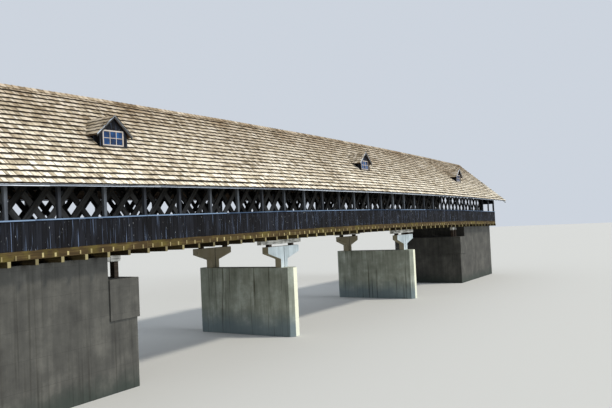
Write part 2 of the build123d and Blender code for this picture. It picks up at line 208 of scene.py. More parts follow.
def spans(a: float, b: float, widest: float) -> Iterator[Span]:
    """Divides a stretch into equal parts.

    Args:
        a: where it starts.
        b: where it ends.
        widest: the widest part.

    Yields:
        The ends of each part.
    """
    count = max(1, math.ceil((b - a) / widest - ROUNDING))
    step = (b - a) / count
    for i in range(count):
        yield a + i * step, a + (i + 1) * step


def linear(colour: str) -> tuple[float, float, float, float]:
    """Turns an sRGB hex value into the linear colour that a shader takes.

    Args:
        colour: six hex digits after a hash.

    Returns:
        Red, green, blue and an alpha of one.
    """
    parts = [int(colour[i:i + 2], 16) / 255 for i in (1, 3, 5)]
    red, green, blue = (c / 12.92 if c <= 0.04045 else ((c + 0.055) / 1.055) ** 2.4 for c in parts)
    return red, green, blue, 1.0


def add(tree: Tree, kind: str, inputs: dict[str | int, object] | Sequence[object] = (),
        out: str | int = 0, **settings: object) -> Socket | None:
    """Adds one node with its settings and links.

    Args:
        tree: the node tree.
        kind: Blender's name for the node, after ShaderNode.
        inputs: a number, an sRGB hex colour or another node's output for each input, by name or in order.
        out: the output that is wanted.
        settings: the node's own settings; stops gives a colour ramp's places and colours.

    Returns:
        The wanted output, or None from a node that has none.
    """
    made = tree.nodes.new("ShaderNode" + kind)
    stops = settings.pop("stops", ())
    for name, value in settings.items():
        setattr(made, name, value)
    for _ in stops[2:]:
        made.color_ramp.elements.new(1.0)
    for i, (place, colour) in enumerate(stops):
        made.color_ramp.elements[i].position = place
        made.color_ramp.elements[i].color = linear(colour)
    for name, value in inputs.items() if isinstance(inputs, dict) else enumerate(inputs):
        if isinstance(value, Socket):
            tree.links.new(value, made.inputs[name])
        else:
            made.inputs[name].default_value = linear(value) if isinstance(value, str) else value
    return made.outputs[out] if made.outputs else None


def weighed(tree: Tree, *parts: tuple[Socket, float]) -> Socket:
    """Adds patterns up, each by its weight.

    Args:
        tree: the node tree.
        parts: each pattern and its weight.

    Returns:
        The sum.
    """
    total: Socket | float = 0.0
    for part, weight in parts:
        total = add(tree, "Math", (part, weight, total), operation="MULTIPLY_ADD")
    return total


def readings(tree: Tree) -> tuple[Socket, Socket, Socket, Socket]:
    """Gives a piece's grain map, place on the bridge, tone, and share of the end colour for end grain and
    painted gap shade.
    """
    tone, end = (add(tree, "Attribute", out="Fac", attribute_name=name) for name in ("tone", "end"))
    return add(tree, "UVMap", uv_map="grain"), add(tree, "TexCoord", out="Object"), tone, end


def coat(tree: Tree, tones: Socket, reach: Span, stops: Sequence[tuple[float, str]],
         layers: Sequence[tuple[Socket, str, str]], relief: tuple[Socket, float, float],
         rough: Socket | float, gloss: float) -> None:
    """Colours a material by its tones, lays stains over it, and adds the bump and the shader.

    Args:
        tree: the node tree.
        tones: the pattern of dark and light.
        reach: the tones that the first and the last colour stand for.
        stops: the colours, each after its place from 0 to 1.
        layers: the share, colour and way of mixing of each stain, in order.
        relief: the pattern that stands out, how strongly, and by how many millimetres.
        rough: the roughness, or the pattern that it follows.
        gloss: how strongly the bare surface reflects.
    """
    colour = add(tree, "ValToRGB", (add(tree, "MapRange", (tones, *reach)),), stops=stops)
    for share, stain, way in layers:
        colour = add(tree, "Mix", {0: share, 6: colour, 7: stain}, 2, data_type="RGBA", blend_type=way)
    height, strength, depth_mm = relief
    bump = add(tree, "Bump", {"Height": height, "Strength": strength, "Distance": depth_mm / 1000})
    shader = add(tree, "BsdfPrincipled", {"Base Color": colour, "Roughness": rough, "Normal": bump,
                                          "Specular IOR Level": gloss})
    add(tree, "OutputMaterial", (shader,))


@dataclass(frozen=True)
class Pattern:
    """A natural pattern: how far its marks reach along each axis of a map, and how finely they break up."""

    size_mm: Triple
    detail: float
    roughness: float = 0.5

    def draw(self, tree: Tree, where: Socket) -> Socket:
        """Adds the pattern to a tree.

        Args:
            tree: the node tree.
            where: the map in metres that it lies on.

        Returns:
            Its strength, from 0 to 1.
        """
        scaled = add(tree, "Mapping", {"Vector": where, "Scale": [1000 / mm for mm in self.size_mm]})
        return add(tree, "TexNoise", {"Vector": scaled, "Scale": 1.0, "Detail": self.detail,
                                      "Roughness": self.roughness})


# Lines where the stain has worn through: 58 to the metre, each over a metre long
WORN_LINES = Pattern((1000 / 0.9, 1000 / 58, 1000 / 58), 2.0)
# Flecks along the grain, 19 mm wide and 143 mm long
FLECKS = Pattern((1000 / 7, 1000 / 52, 1000 / 52), 3.0)
# Patches of moss, about 320 mm across
MOSS = Pattern((1000 / 3.1, 1000 / 3.1, 1000 / 3.1), 5.0)
# Split marks down the shakes, 24 mm apart
SPLITS = Pattern((1000 / 2.2, 1000 / 42, 1000 / 42), 2.0)
# Dirt on the roof, in stains of a metre and a half
GRIME = Pattern((1500.0, 1500.0, 1500.0), 4.0, 0.6)
# Broad rain streaks down the concrete, seven to the metre
STREAKS = Pattern((1000 / 7, 1000 / 7, 1000 / 0.45), 5.0, 0.6)
# Thin dark runs between them, thirteen to the metre
RUNS = Pattern((1000 / 13, 1000 / 13, 1000 / 0.35), 2.0)
# Clouds left in the concrete where it was poured
CLOUDS = Pattern((625.0, 625.0, 625.0), 5.0, 0.6)
# Grit and pinholes, drawn at 14 mm so that they show from across the stream
GRIT = Pattern((14.0, 14.0, 14.0), 3.0)
# Slow ripple of old glass
RIPPLE = Pattern((120.0, 120.0, 120.0), 1.0)
# Damp stains on the blocks and pegs
DAMP = Pattern((250.0, 250.0, 250.0), 4.0)


@dataclass(frozen=True)
class Stain:
    """A colour that shows where its pattern is strong, either along the grain or over the whole bridge."""

    colour: str
    pattern: Pattern
    start: float
    full: float
    most: float = 1.0
    with_grain: bool = True


class Finish:
    """A surface finish, which makes its material once."""

    name: str
    made: dict[str, bpy.types.Material] = {}

    def material(self) -> bpy.types.Material:
        """Gives the material, and makes it the first time.

        Returns:
            The material.
        """
        if self.name not in Finish.made:
            Finish.made[self.name] = material = bpy.data.materials.new(self.name)
            material.use_nodes = True
            material.node_tree.nodes.clear()
            self.draw(material.node_tree)
        return Finish.made[self.name]

    def draw(self, tree: Tree) -> None:
        """Fills an empty node tree with the finish's nodes."""
        raise NotImplementedError


@dataclass(frozen=True)
class SawnTimber(Finish):
    """Sawn timber left to the weather: fibres and streaks run along each piece, whose tones differ.

    The fibres are real at about 3 mm, but drawn coarser where only that shows from across the stream.
    """

    name: str
    dark: str
    middle: str
    light: str
    end_grain: str
    fibre_mm: float = 9.0
    fibre_length_mm: float = 225.0
    streak_mm: float = 45.0
    streak_length_mm: float = 900.0
    blotch_mm: float = 700.0
    tone_share: float = 0.35
    bump_mm: float = 1.2
    rough: Span = (0.72, 0.95)
    gloss: float = 0.12
    stains: tuple[Stain, ...] = ()

    def draw(self, tree: Tree) -> None:
        """Fills the tree with fibres, streaks, piece tones, stains and end grain.

        Args:
            tree: the empty node tree.
        """
        grain, place, tone, end = readings(tree)
        fibre = Pattern((self.fibre_length_mm, self.fibre_mm, self.fibre_mm), 4.0, 0.65).draw(tree, grain)
        streak = Pattern((self.streak_length_mm, self.streak_mm, self.streak_mm), 3.0, 0.6).draw(tree, grain)
        blotch = Pattern((self.blotch_mm, self.blotch_mm, self.blotch_mm), 3.0).draw(tree, place)
        tones = weighed(tree, (tone, self.tone_share), (streak, 0.75), (fibre, 0.35), (blotch, 0.30))
        layers = []
        for stain in self.stains:
            strength = stain.pattern.draw(tree, grain if stain.with_grain else place)
            share = add(tree, "MapRange", (strength, stain.start, stain.full, 0.0, stain.most))
            layers.append((share, stain.colour, "MIX"))
        # End grain takes its own colour: on floor beam and joist ends a pale painted sunlit highlight, on
        # sheathing edges near black painted shade
        dry = add(tree, "Math", (tone, 0.65, 0.25), operation="MULTIPLY_ADD")
        layers.append((add(tree, "Math", (end, dry), operation="MULTIPLY"), self.end_grain, "MIX"))
        rough = add(tree, "MapRange", (fibre, 0.3, 0.7, *self.rough))
        coat(tree, tones, (0.52, 0.88 + self.tone_share * 0.6),
             ((0.0, self.dark), (0.55, self.middle), (1.0, self.light)), layers,
             (fibre, 0.6, self.bump_mm), rough, self.gloss)


@dataclass(frozen=True)
class SplitShake(Finish):
    """Split cedar shakes: sun-faded and pale, near black with painted shade and dirt under the next course.

    The grain runs up the slope. A shake takes painted shade where the next course covers it, from 68 to 86%
    of its 192 mm exposure, and the roof turns browner with its height.
    """

    name: str = "split_cedar_shake"
    fibre_mm: float = 7.0
    fibre_length_mm: float = 126.0
    bump_mm: float = 3.0
    shade: Span = (0.68 * 0.192, 0.86 * 0.192)
    browner: Span = (5.1, 7.5)

    def draw(self, tree: Tree) -> None:
        """Fills the tree with split grain, shake tones, painted shade and dirt under the next course, and
        stains.

        Args:
            tree: the empty node tree.
        """
        grain, place, tone, end = readings(tree)
        fibre = Pattern((self.fibre_length_mm, self.fibre_mm, self.fibre_mm), 4.0, 0.7).draw(tree, grain)
        tones = weighed(tree, (tone, 0.50), (fibre, 0.55), (SPLITS.draw(tree, grain), 0.60))
        # Near black painted shade, with dirt, where the next course covers a shake
        painted_course_shade = add(tree, "MapRange", (add(tree, "SeparateXYZ", (grain,), "X"), *self.shade, 0.0, 0.95))
        height = add(tree, "SeparateXYZ", (place,), "Z")
        # Darker and browner towards the ridge, and grimy in patches
        near_ridge = add(tree, "MapRange", (height, *self.browner, 0.0, 0.62))
        grime = add(tree, "MapRange", (GRIME.draw(tree, place), 0.42, 0.72, 0.0, 0.40))
        browner_up_and_grimy = add(tree, "Math", (near_ridge, grime), operation="ADD", use_clamp=True)
        # Butts and sides take the near black end colour: dark end grain, and painted shade under each course
        # and in the gaps between shakes
        ends = add(tree, "Math", (end, 0.95), operation="MULTIPLY")
        coat(tree, tones, (0.42, 1.06),
             ((0.0, "#5A4D3B"), (0.28, "#A1947C"), (0.55, "#D0C4AC"), (1.0, "#EBE3D2")),
             ((painted_course_shade, "#170F06", "MIX"), (browner_up_and_grimy, "#8A7458", "MULTIPLY"), (ends, "#1F160A", "MIX")),
             (tones, 0.8, self.bump_mm), 0.9, 0.2)


@dataclass(frozen=True)
class CastConcrete(Finish):
    """Cast concrete: rain streaks run down it, and the foot is stained by the stream.

    Form joints come every 610 mm, as from half-size sheets. The faces that look out from the bridge may take
    a painted sunlit tint, and the others brown stain with painted shade.
    """

    name: str
    dark: str
    middle: str
    light: str
    foot: str = "#3C4038"
    foot_top: float = 0.55
    joint_mm: float = 610.0
    joint_depth_mm: float = 2.0
    joint_share: float = 0.35
    streak: float = 0.55
    run_share: float = 0.9
    stain_and_painted_shade: str | None = None
    painted_sun_tint: str | None = None
    seam_at: float | None = None
    seam_mm: float = 13.0

    def draw(self, tree: Tree) -> None:
        """Fills the tree with clouds, rain streaks, form joints, the wet foot and grit.

        Args:
            tree: the empty node tree.
        """
        place = add(tree, "TexCoord", out="Object")
        along, across, height = (add(tree, "SeparateXYZ", (place,), axis) for axis in "XYZ")
        streak, cloud, grit, run = (p.draw(tree, place) for p in (STREAKS, CLOUDS, GRIT, RUNS))
        tones = weighed(tree, (streak, self.streak), (cloud, 1.0 - self.streak), (grit, 0.12))
        uneven = add(tree, "Math", (cloud, 0.5, height), operation="MULTIPLY_ADD")
        wet = add(tree, "MapRange", (uneven, self.foot_top * 0.6, self.foot_top + 0.25, 0.8, 0.0))
        dirty = add(tree, "MapRange", (run, 0.58, 0.72, 0.0, self.run_share))
        layers = [(wet, self.foot, "MIX"), (dirty, "#8C8676", "MULTIPLY")]
        turned = add(tree, "SeparateXYZ", (add(tree, "NewGeometry", out="Normal"),), "Y")
        outward = add(tree, "Math", (turned, across), operation="MULTIPLY")
        # Faces turned in or down take brown stain with painted shade; faces looking out take a painted sunlit
        # tint
        for stain, start, full in ((self.stain_and_painted_shade, 1.2, 0.5), (self.painted_sun_tint, 1.7, 2.2)):
            if stain:
                layers.append((add(tree, "MapRange", (outward, start, full, 0.0, 0.8)), stain, "MIX"))
        if self.seam_at:
            apart = add(tree, "Math", (along,), operation="ABSOLUTE")
            seam = add(tree, "Math", (apart, self.seam_at, self.seam_mm / 1000), operation="COMPARE")
            layers.append((seam, "#2B2E2E", "MIX"))
        wave = add(tree, "Math", (height, self.joint_mm / 2000), operation="PINGPONG")
        joint = add(tree, "MapRange", (wave, 0.0, 0.006, self.joint_share, 0.0))
        layers.append((joint, self.dark, "MIX"))
        rise = add(tree, "Math", (joint, -2.0, grit), operation="MULTIPLY_ADD")
        coat(tree, tones, (0.36, 0.80), ((0.0, self.dark), (0.5, self.middle), (1.0, self.light)), layers,
             (rise, 0.5, self.joint_depth_mm), 0.88, 0.35)


@dataclass(frozen=True)
class SolidTimber(Finish):
    """Timber whose grain runs along X of the bridge, for blocks and pegs with no grain map."""

    name: str
    dark: str
    light: str
    streak_mm: float = 40.0

    def draw(self, tree: Tree) -> None:
        """Fills the tree with grain along X and damp stains.

        Args:
            tree: the empty node tree.
        """
        place = add(tree, "TexCoord", out="Object")
        grain = Pattern((625.0, self.streak_mm, self.streak_mm), 4.0, 0.6).draw(tree, place)
        tones = weighed(tree, (grain, 1.0), (DAMP.draw(tree, place), 0.6))
        coat(tree, tones, (0.62, 0.98), ((0.0, self.dark), (1.0, self.light)), (), (grain, 0.5, 3.0),
             0.85, 0.3)


@dataclass(frozen=True)
class WindowGlass(Finish):
    """Old window glass with a clear sky's blue painted in as its reflection, a little uneven from pane to
    pane.
    """

    name: str = "window_glass"

    def draw(self, tree: Tree) -> None:
        """Fills the tree with the painted blue of the sky's reflection, pane tones and a slow ripple.

        Args:
            tree: the empty node tree.
        """
        ripple = RIPPLE.draw(tree, add(tree, "TexCoord", out="Object"))
        tone = add(tree, "Attribute", out="Fac", attribute_name="tone")
        coat(tree, weighed(tree, (ripple, 1.0), (tone, 0.5)), (0.35, 1.05),
             ((0.0, "#04142A"), (0.6, "#082D55"), (1.0, "#124A7C")), (), (ripple, 0.2, 4.0), 0.06, 0.5)


@dataclass(frozen=True)
class StudioFloorPaint(Finish):
    """Matt paint, the same all over."""

    name: str = "studio_floor_paint"

    def draw(self, tree: Tree) -> None:
        """Fills the tree with one matt colour."""
        shader = add(tree, "BsdfPrincipled", {"Base Color": "#B9B9B5", "Roughness": 0.95})
        add(tree, "OutputMaterial", (shader,))


# Lattice, chords, rafters and ties: near black with creosote, flecked grey where water has run
CREOSOTED = SawnTimber("creosoted_timber", "#141311", "#282725", "#454442", "#332D27",
                       stains=(Stain("#5A5854", FLECKS, 0.72, 0.78),))
# Rail, dormer and portal boards: black stain that has worn through in thin blue-grey lines and pale flecks
SIDING = SawnTimber("stained_siding_board", "#060607", "#0D0D10", "#1D1F25", "#2B2825", streak_mm=16.0,
                    streak_length_mm=700.0, tone_share=0.30,
                    stains=(Stain("#66768F", WORN_LINES, 0.635, 0.715),
                            Stain("#B4B8B6", FLECKS, 0.690, 0.750)))
# Posts and portal casings: the same stain, greyed where the weather gets at it
POST = SawnTimber("weathered_post", "#25262A", "#414347", "#6C7074", "#3F3B35", streak_mm=18.0)
# Rail caps: planed grey boards with a dull blue that is painted skylight, one length darker than the next
CAP = SawnTimber("rail_cap_painted_sky_blue", "#19222E", "#34455A", "#71849B", "#3A4654", tone_share=0.7)
# Fascias, barge boards and drip edges: white paint worn to a cold grey in long runs
TRIM = SawnTimber("pale_painted_trim", "#5F6670", "#B5BDC6", "#F0F3F6", "#7A756B", tone_share=0.45,
                  streak_length_mm=1600.0, bump_mm=0.5, rough=(0.5, 0.75), gloss=0.35)
# Window frames and bars: dull cream paint, the one light line round each dark pane
SASH = SawnTimber("pale_painted_sash", "#7F756B", "#A89D92", "#CCC3B9", "#8F857B", tone_share=0.2,
                  bump_mm=0.3, rough=(0.45, 0.7), gloss=0.4)
# Stringers and joist ends: treated softwood gone yellow-brown, with olive moss in patches; pale end grain is
# a painted sunlit highlight
FLOOR = SawnTimber("treated_floor_timber", "#1A140B", "#41341E", "#857547", "#A1946A", tone_share=0.55,
                   stains=(Stain("#5F5626", MOSS, 0.52, 0.70, 0.55, with_grain=False),))
# Floor beams and joists below the deck: the same wood, brown and damp, painted darker as shade under the
# deck, with ends painted pale as sunlit
BEAM = SawnTimber("damp_floor_beam_painted_shade", "#17130C", "#302818", "#54492E", "#8C835F", tone_share=0.35)
# Road and walkway planks: dry grey-brown wood that wear keeps pale
DECK = SawnTimber("worn_deck_plank", "#3A332B", "#6A5F52", "#8F8373", "#5C5246")
# Boards under the shakes: dry brown softwood, with near black edges as painted shade in the gaps between
# shakes
SHEATHING = SawnTimber("roof_sheathing_board", "#2A2018", "#4A3A2C", "#6E5A45", "#120D08")
# Roof: straw-pale split cedar with a dark line under every course
SHAKE = SplitShake()
# Piers: olive-grey concrete, cold grey where the stream has washed it and painted sunlit cream on the front
# of the nose
PIER = CastConcrete("pier_concrete", "#686B5D", "#8F9385", "#BFC3B7", foot="#66757A", foot_top=0.9,
                    streak=0.35, painted_sun_tint="#F0EDD2")
# Abutments: brown-grey concrete that never dries, painted darker still for deep shade, greenish at its foot
ABUTMENT = CastConcrete("abutment_concrete", "#2C2B28", "#42413C", "#5C5A53", foot="#28302A", streak=0.35,
                        joint_share=0.6, run_share=0.45)
# Pier heads: newer and paler concrete, its cool grey partly painted skylight, brown on the faces turned from
# the weather as stain and painted shade, with a dark middle seam
HEAD = CastConcrete("pale_head_concrete", "#8F9797", "#B2BAB9", "#D5DCDC", foot_top=0.0, streak=0.4,
                    stain_and_painted_shade="#857651", seam_at=5.216, joint_share=0.0, run_share=0.35)
# Dormer panes: dark glass with the blue of a clear sky painted in as a reflection
GLASS = WindowGlass()
# Pegs through the lattice: oak as brown as the planks are black, so that they just show
PEG = SolidTimber("oak_peg", "#2A211A", "#5A4A3A")
# Blocks under the floor beams: old timber in the dark, nearly black
BLOCK = SolidTimber("bearing_block_timber", "#1C1713", "#4A3D30")
# Bolsters on the pier heads: timber silvered almost white, with grey streaks
BOLSTER = SolidTimber("silvered_bolster", "#4E4C46", "#D8D6CC", 60.0)
# Studio floor: pale and matt, so that it only takes the shadow
FLOOR_PAINT = StudioFloorPaint()


class Joinery:
    """One mesh of many like pieces, each with its own grain and tone.

    The pieces are made in small batches, because an operator slows down as its mesh grows.
    """

    end_stretch: float = 14.0
    shift_range: float = 40.0
    batch: int = 240

    def __init__(self, name: str, seed: int, side: Side = Side.NEAR) -> None:
        """Starts an empty mesh.

        Args:
            name: the finished object's name.
            seed: where its random draws start.
            side: the side of the bridge that it is for.
        """
        self.name, self.side = name, side
        self.chance = random.Random(seed)
        self.move: Place = lambda point: point
        # Share of the end colour on faces that look along Y; shakes and sheathing set it for painted shade in
        # the gaps
        self.edge = 0.0
        self.batches: list[bpy.types.Mesh] = []
        self.open()

    def open(self) -> None:
        """Starts an empty batch."""
        self.count = 0
        self.mesh = bmesh.new()
        self.tone = self.mesh.faces.layers.float.new("tone")
        self.end = self.mesh.faces.layers.float.new("end")
        self.grain = self.mesh.loops.layers.uv.new("grain")

    def close(self) -> None:
        """Puts the batch away."""
        kept = bpy.data.meshes.new(self.name + "_batch")
        self.mesh.to_mesh(kept)
        self.mesh.free()
        self.batches.append(kept)

    def gather(self) -> bmesh.types.BMesh:
        """Brings the batches together.

        Returns:
            The whole mesh.
        """
        self.close()
        mesh = bmesh.new()
        for kept in self.batches:
            mesh.from_mesh(kept)
            bpy.data.meshes.remove(kept)
        return mesh

    def piece(self, size: Vector, place: Place, grain: Axis = Axis.X, tone: float | None = None,
              start: float | None = None) -> list[bmesh.types.BMVert]:
        """Adds one piece, a unit cube whose corners are put where they belong.

        Args:
            size: its length along each of its own axes, which the grain is measured by.
            place: gives the place of a corner of the unit cube.
            grain: the axis that the grain follows.
            tone: how light it is, from 0 to 1, or a random tone.
            start: where the grain starts, or a random place.

        Returns:
            The eight corners.
        """
        self.count += 1
        if self.count > self.batch:
            self.close()
            self.open()
        corners = bmesh.ops.create_cube(self.mesh, size=1.0)["verts"]
        tone = self.chance.random() if tone is None else tone
        shift = Vector([self.chance.uniform(0, self.shift_range) for _ in range(2)])
        if start is not None:
            shift.x = start
        for face in {face for corner in corners for face in corner.link_faces}:
            face.normal_update()
            across = max(range(3), key=lambda i: abs(face.normal[i]))
            at_end = across == grain.value
            face[self.tone] = tone
            # Ends take the end colour; faces that look along Y take the edge share, which is painted gap
            # shade
            face[self.end] = 1.0 if at_end else self.edge if across == Axis.Y.value else 0.0
            first, second = (i for i in range(3) if i != across)
            if not at_end and first != grain.value:
                first, second = second, first
            stretch = self.end_stretch if at_end else 1.0
            for loop in face.loops:
                at = loop.vert.co
                loop[self.grain].uv = shift + Vector((at[first] * size[first] * stretch,
                                                      at[second] * size[second]))
        for corner in corners:
            corner.co = self.move(place(corner.co))
        return corners

    def bar(self, x: Span, y: Span, z: Span, grain: Axis = Axis.X, tone: float | None = None) -> None:
        """Adds one piece with level, upright faces.

        Args:
            x: its ends along the bridge.
            y: its ends across it.
            z: its bottom and top.
            grain: the axis that the grain follows.
            tone: how light it is, or a random tone.
        """
        size = Vector([high - low for low, high in (x, y, z)])
        middle = Vector([low + high for low, high in (x, y, z)]) / 2
        self.piece(size, lambda c: middle + Vector((c.x * size.x, c.y * size.y, c.z * size.z)), grain, tone)

    def panel(self, x: Span, y: Span, foot: Span, head: Span, along: Axis = Axis.X,
              grain: Axis = Axis.Z, size: Vector | None = None) -> None:
        """Adds one piece with upright sides, whose foot and head may slope.

        Args:
            x: its ends along the bridge.
            y: its ends across it.
            foot: height of its foot at both ends.
            head: height of its head at both ends.
            along: the axis that it slopes along.
            grain: the axis that the grain follows.
            size: what the grain is measured by, or the piece's own size.
        """
        def place(corner: Vector) -> Vector:
            """Puts a corner at its end, face and height."""
            return Vector((x[corner.x > 0], y[corner.y > 0],
                           (head if corner.z > 0 else foot)[corner[along.value] > 0]))

        self.piece(size or Vector((x[1] - x[0], y[1] - y[0], max(head) - min(foot))), place, grain)

    def run(self, y: Span, z: Span, longest: float, joint: float, tone: float | None = None) -> None:
        """Lays one timber in lengths, from end to end of the trusses.

        Args:
            y: its two faces.
            z: its bottom and top.
            longest: the longest length.
            joint: gap between two lengths.
            tone: how light it is, or random tones.
        """
        for x0, x1 in SIZES.lengths(-SIZES.half_length, SIZES.half_length, longest):
            self.bar((x0, x1 - joint), y, z, tone=tone)

    def finish(self, finish: Finish, slot: str, *replaces: str, soften: float = 0.003,
               with_camber: bool = True, limit: float | None = None) -> None:
        """Cuts the ends, softens the edges and puts the object on the bridge.

        Args:
            finish: what it is made of.
            slot: the record's material slot.
            replaces: the solids that it stands for.
            soften: width of the worn edges, or 0 for none.
            with_camber: lifts each point with the camber.
            limit: distance from the middle at which the pieces are cut off square.
        """
        mesh = self.gather()
        for way in (1, -1) if limit else ():
            made = bmesh.ops.bisect_plane(mesh, geom=mesh.verts[:] + mesh.edges[:] + mesh.faces[:],
                                          plane_co=(way * limit, 0, 0), plane_no=(way, 0, 0),
                                          clear_outer=True)
            edges = [e for e in made["geom_cut"] if isinstance(e, bmesh.types.BMEdge) and e.is_boundary]
            bmesh.ops.holes_fill(mesh, edges=edges, sides=0)
        if soften:
            wear(mesh, mesh.edges[:], soften, 1)
        publish(self.name, mesh, finish, slot, replaces, self.side, with_camber)


def pair(name: str, seed: int) -> Iterator[Joinery]:
    """Starts the same mesh for the near side and then for the far side.

    Args:
        name: the objects' name, without that of the side.
        seed: where the near side's random draws start.

    Yields:
        The mesh of each side.
    """
    for shift, side in enumerate((Side.NEAR, Side.FAR)):
        yield Joinery(f"{name}_{side.value}", seed + shift, side)


def wear(mesh: bmesh.types.BMesh, edges: Sequence[bmesh.types.BMEdge], width: float, segments: int) -> None:
    """Wears edges down.

    Args:
        mesh: the shape.
        edges: its sharp edges.
        width: how far the wear reaches.
        segments: how many faces it has.
    """
    bmesh.ops.bevel(mesh, geom=edges, offset=width, offset_type="OFFSET", segments=segments, profile=0.5,
                    affect="EDGES", clamp_overlap=True, material=-1)


def show(name: str, data: bpy.types.ID) -> bpy.types.Object:
    """Puts a mesh, a light or a camera in the scene.

    Args:
        name: the object's name.
        data: what it shows.

    Returns:
        The new object.
    """
    made = bpy.data.objects.new(name, data)
    bpy.context.scene.collection.objects.link(made)
    return made


def solid(name: str, mesh: bmesh.types.BMesh, finish: Finish) -> bpy.types.Object:
    """Makes an object of a shape.

    Args:
        name: the object's name.
        mesh: its shape, which is freed.
        finish: what it is made of.

    Returns:
        The new object.
    """
    data = bpy.data.meshes.new(name)
    mesh.to_mesh(data)
    mesh.free()
    data.materials.append(finish.material())
    return show(name, data)


def publish(name: str, mesh: bmesh.types.BMesh, finish: Finish, slot: str, replaces: Sequence[str] = (),
            side: Side = Side.NEAR, with_camber: bool = False) -> None:
    """Makes a piece of a shape drawn for the near side, and puts it on the bridge.

    Args:
        name: the piece's name.
        mesh: its shape, which is freed.
        finish: what it is made of.
        slot: the record's material slot; not used.
        replaces: the solids that it stands for.
        side: the side that it belongs on.
        with_camber: lifts each point with the camber.
    """
    if with_camber:
        for point in mesh.verts:
            point.co.z += SIZES.camber(point.co.x)
    geometry = mesh.verts[:] + mesh.edges[:] + mesh.faces[:]
    if side is Side.BOTH:
        geometry = bmesh.ops.duplicate(mesh, geom=geometry)["geom"]
    if side is not Side.NEAR:
        points, faces = ([g for g in geometry if isinstance(g, kind)]
                         for kind in (bmesh.types.BMVert, bmesh.types.BMFace))
        bmesh.ops.scale(mesh, vec=(1, -1, 1), verts=points)
        bmesh.ops.reverse_faces(mesh, faces=faces)
    made = solid(name, mesh, finish)
    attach(made, "root")
    if replaces:
        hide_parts(*replaces)
    made.data.calc_loop_triangles()
    log.info("%s: %d triangles", name, len(made.data.loop_triangles))


@dataclass
class Slope:
    """One plane of shakes: a corner at its eave, the way along the eave and the way up."""

    corner: Vector
    along: Vector
    up: Vector
    length: float

    def at(self, run: float, rise: float, height: float) -> Vector:
        """Gives a point so far along the eave, up the slope and over the roof's plane."""
        return self.corner + self.along * run + self.up * rise + self.along.cross(self.up) * height


@dataclass
class ShakeCourses:
    """Courses of split shakes, each lapped over the one below."""

    exposure: float = 0.1924
    lap: float = 1.5
    butt: float = 0.018
    top: float = 0.011
    base: float = -0.026
    head: float = 0.0025
    narrow: float = 0.055
    wide: float = 0.150
    sliver: float = 0.010
    gap: Span = (0.006, 0.018)
    ragged: float = 0.010
    uneven: float = 0.004
    twist: float = 0.6
    skew: float = 0.003
    sag: Span = (-0.004, 0.002)
    overhang: float = 0.026
    # Share of the end colour on the shakes' sides: painted shade in the gaps between shakes
    painted_side_shade: float = 0.85

    def lay(self, work: Joinery, slope: Slope, runs: Callable[[float], list[Span]]) -> None:
        """Lays a starter course and then every course of one slope.

        Args:
            work: the mesh that the shakes go into.
            slope: the plane that they lie on.
            runs: gives the stretches to cover at a distance up the slope.
        """
        work.edge = self.painted_side_shade
        courses = max(1, round(slope.length / self.exposure))
        step = slope.length / courses
        for stretch in runs(step / 2):
            self.row(work, slope, stretch, 2 * self.ragged - self.overhang, step,
                     (self.base, self.base + self.butt))
        for course in range(courses):
            foot = course * step - (self.overhang if course == 0 else 0.0)
            for stretch in runs((course + 0.5) * step):
                self.row(work, slope, stretch, foot, self.lap * step, (self.top - self.butt, self.top))

    def row(self, work: Joinery, slope: Slope, stretch: Span, foot: float, length: float, butt: Span) -> None:
        """Lays shakes of random widths over one stretch.

        Args:
            work: the mesh that the shakes go into.
            slope: the plane that they lie on.
            stretch: its ends along the eave.
            foot: how far up the slope the butts are.
            length: length of a whole shake, before it is cut at the ridge.
            butt: height of a butt's lower and upper edge.
        """
        run, end = stretch
        while run < end - self.sliver:
            width = work.chance.uniform(self.narrow, self.wide)
            width = end - run if end - run - width < self.narrow else width
            edges = (run, run + width - work.chance.uniform(*self.gap))
            ragged = work.chance.uniform(-self.ragged, self.ragged)
            self.shake(work, slope, edges, foot + ragged, length, butt)
            run += width

    def shake(self, work: Joinery, slope: Slope, edges: Span, foot: float, length: float, butt: Span) -> None:
        """Lays one shake, thick at its butt and thin at its head.

        Args:
            work: the mesh that it goes into.
            slope: the plane that it lies on.
            edges: its two edges along the eave.
            foot: how far up the slope its butt is.
            length: its length before it is cut at the ridge.
            butt: height of the butt's lower and upper edge.
        """
        kept = min(length, slope.length - foot)
        share = kept / length
        lift = work.chance.uniform(-self.uneven, self.uneven)
        twist = work.chance.uniform(-self.uneven, self.uneven) * self.twist
        skew = work.chance.uniform(-self.skew, self.skew)
        sag = work.chance.uniform(*self.sag)
        under, top = butt
        thin = (under + (self.base - under) * share, top + (self.base + self.head - top) * share)

        def place(corner: Vector) -> Vector:
            """Puts a corner on the slope.

            Args:
                corner: a corner of the unit cube.

            Returns:
                Its place.
            """
            left = corner.y < 0
            side = edges[not left]
            if corner.x > 0:
                return slope.at(side + skew, foot + kept, thin[corner.z > 0])
            height = top + lift + (twist if left else -twist) if corner.z > 0 else under + sag
            return slope.at(side, foot + (skew if left else -skew), height)

        work.piece(Vector((kept, edges[1] - edges[0], self.butt)), place, start=kept / 2)


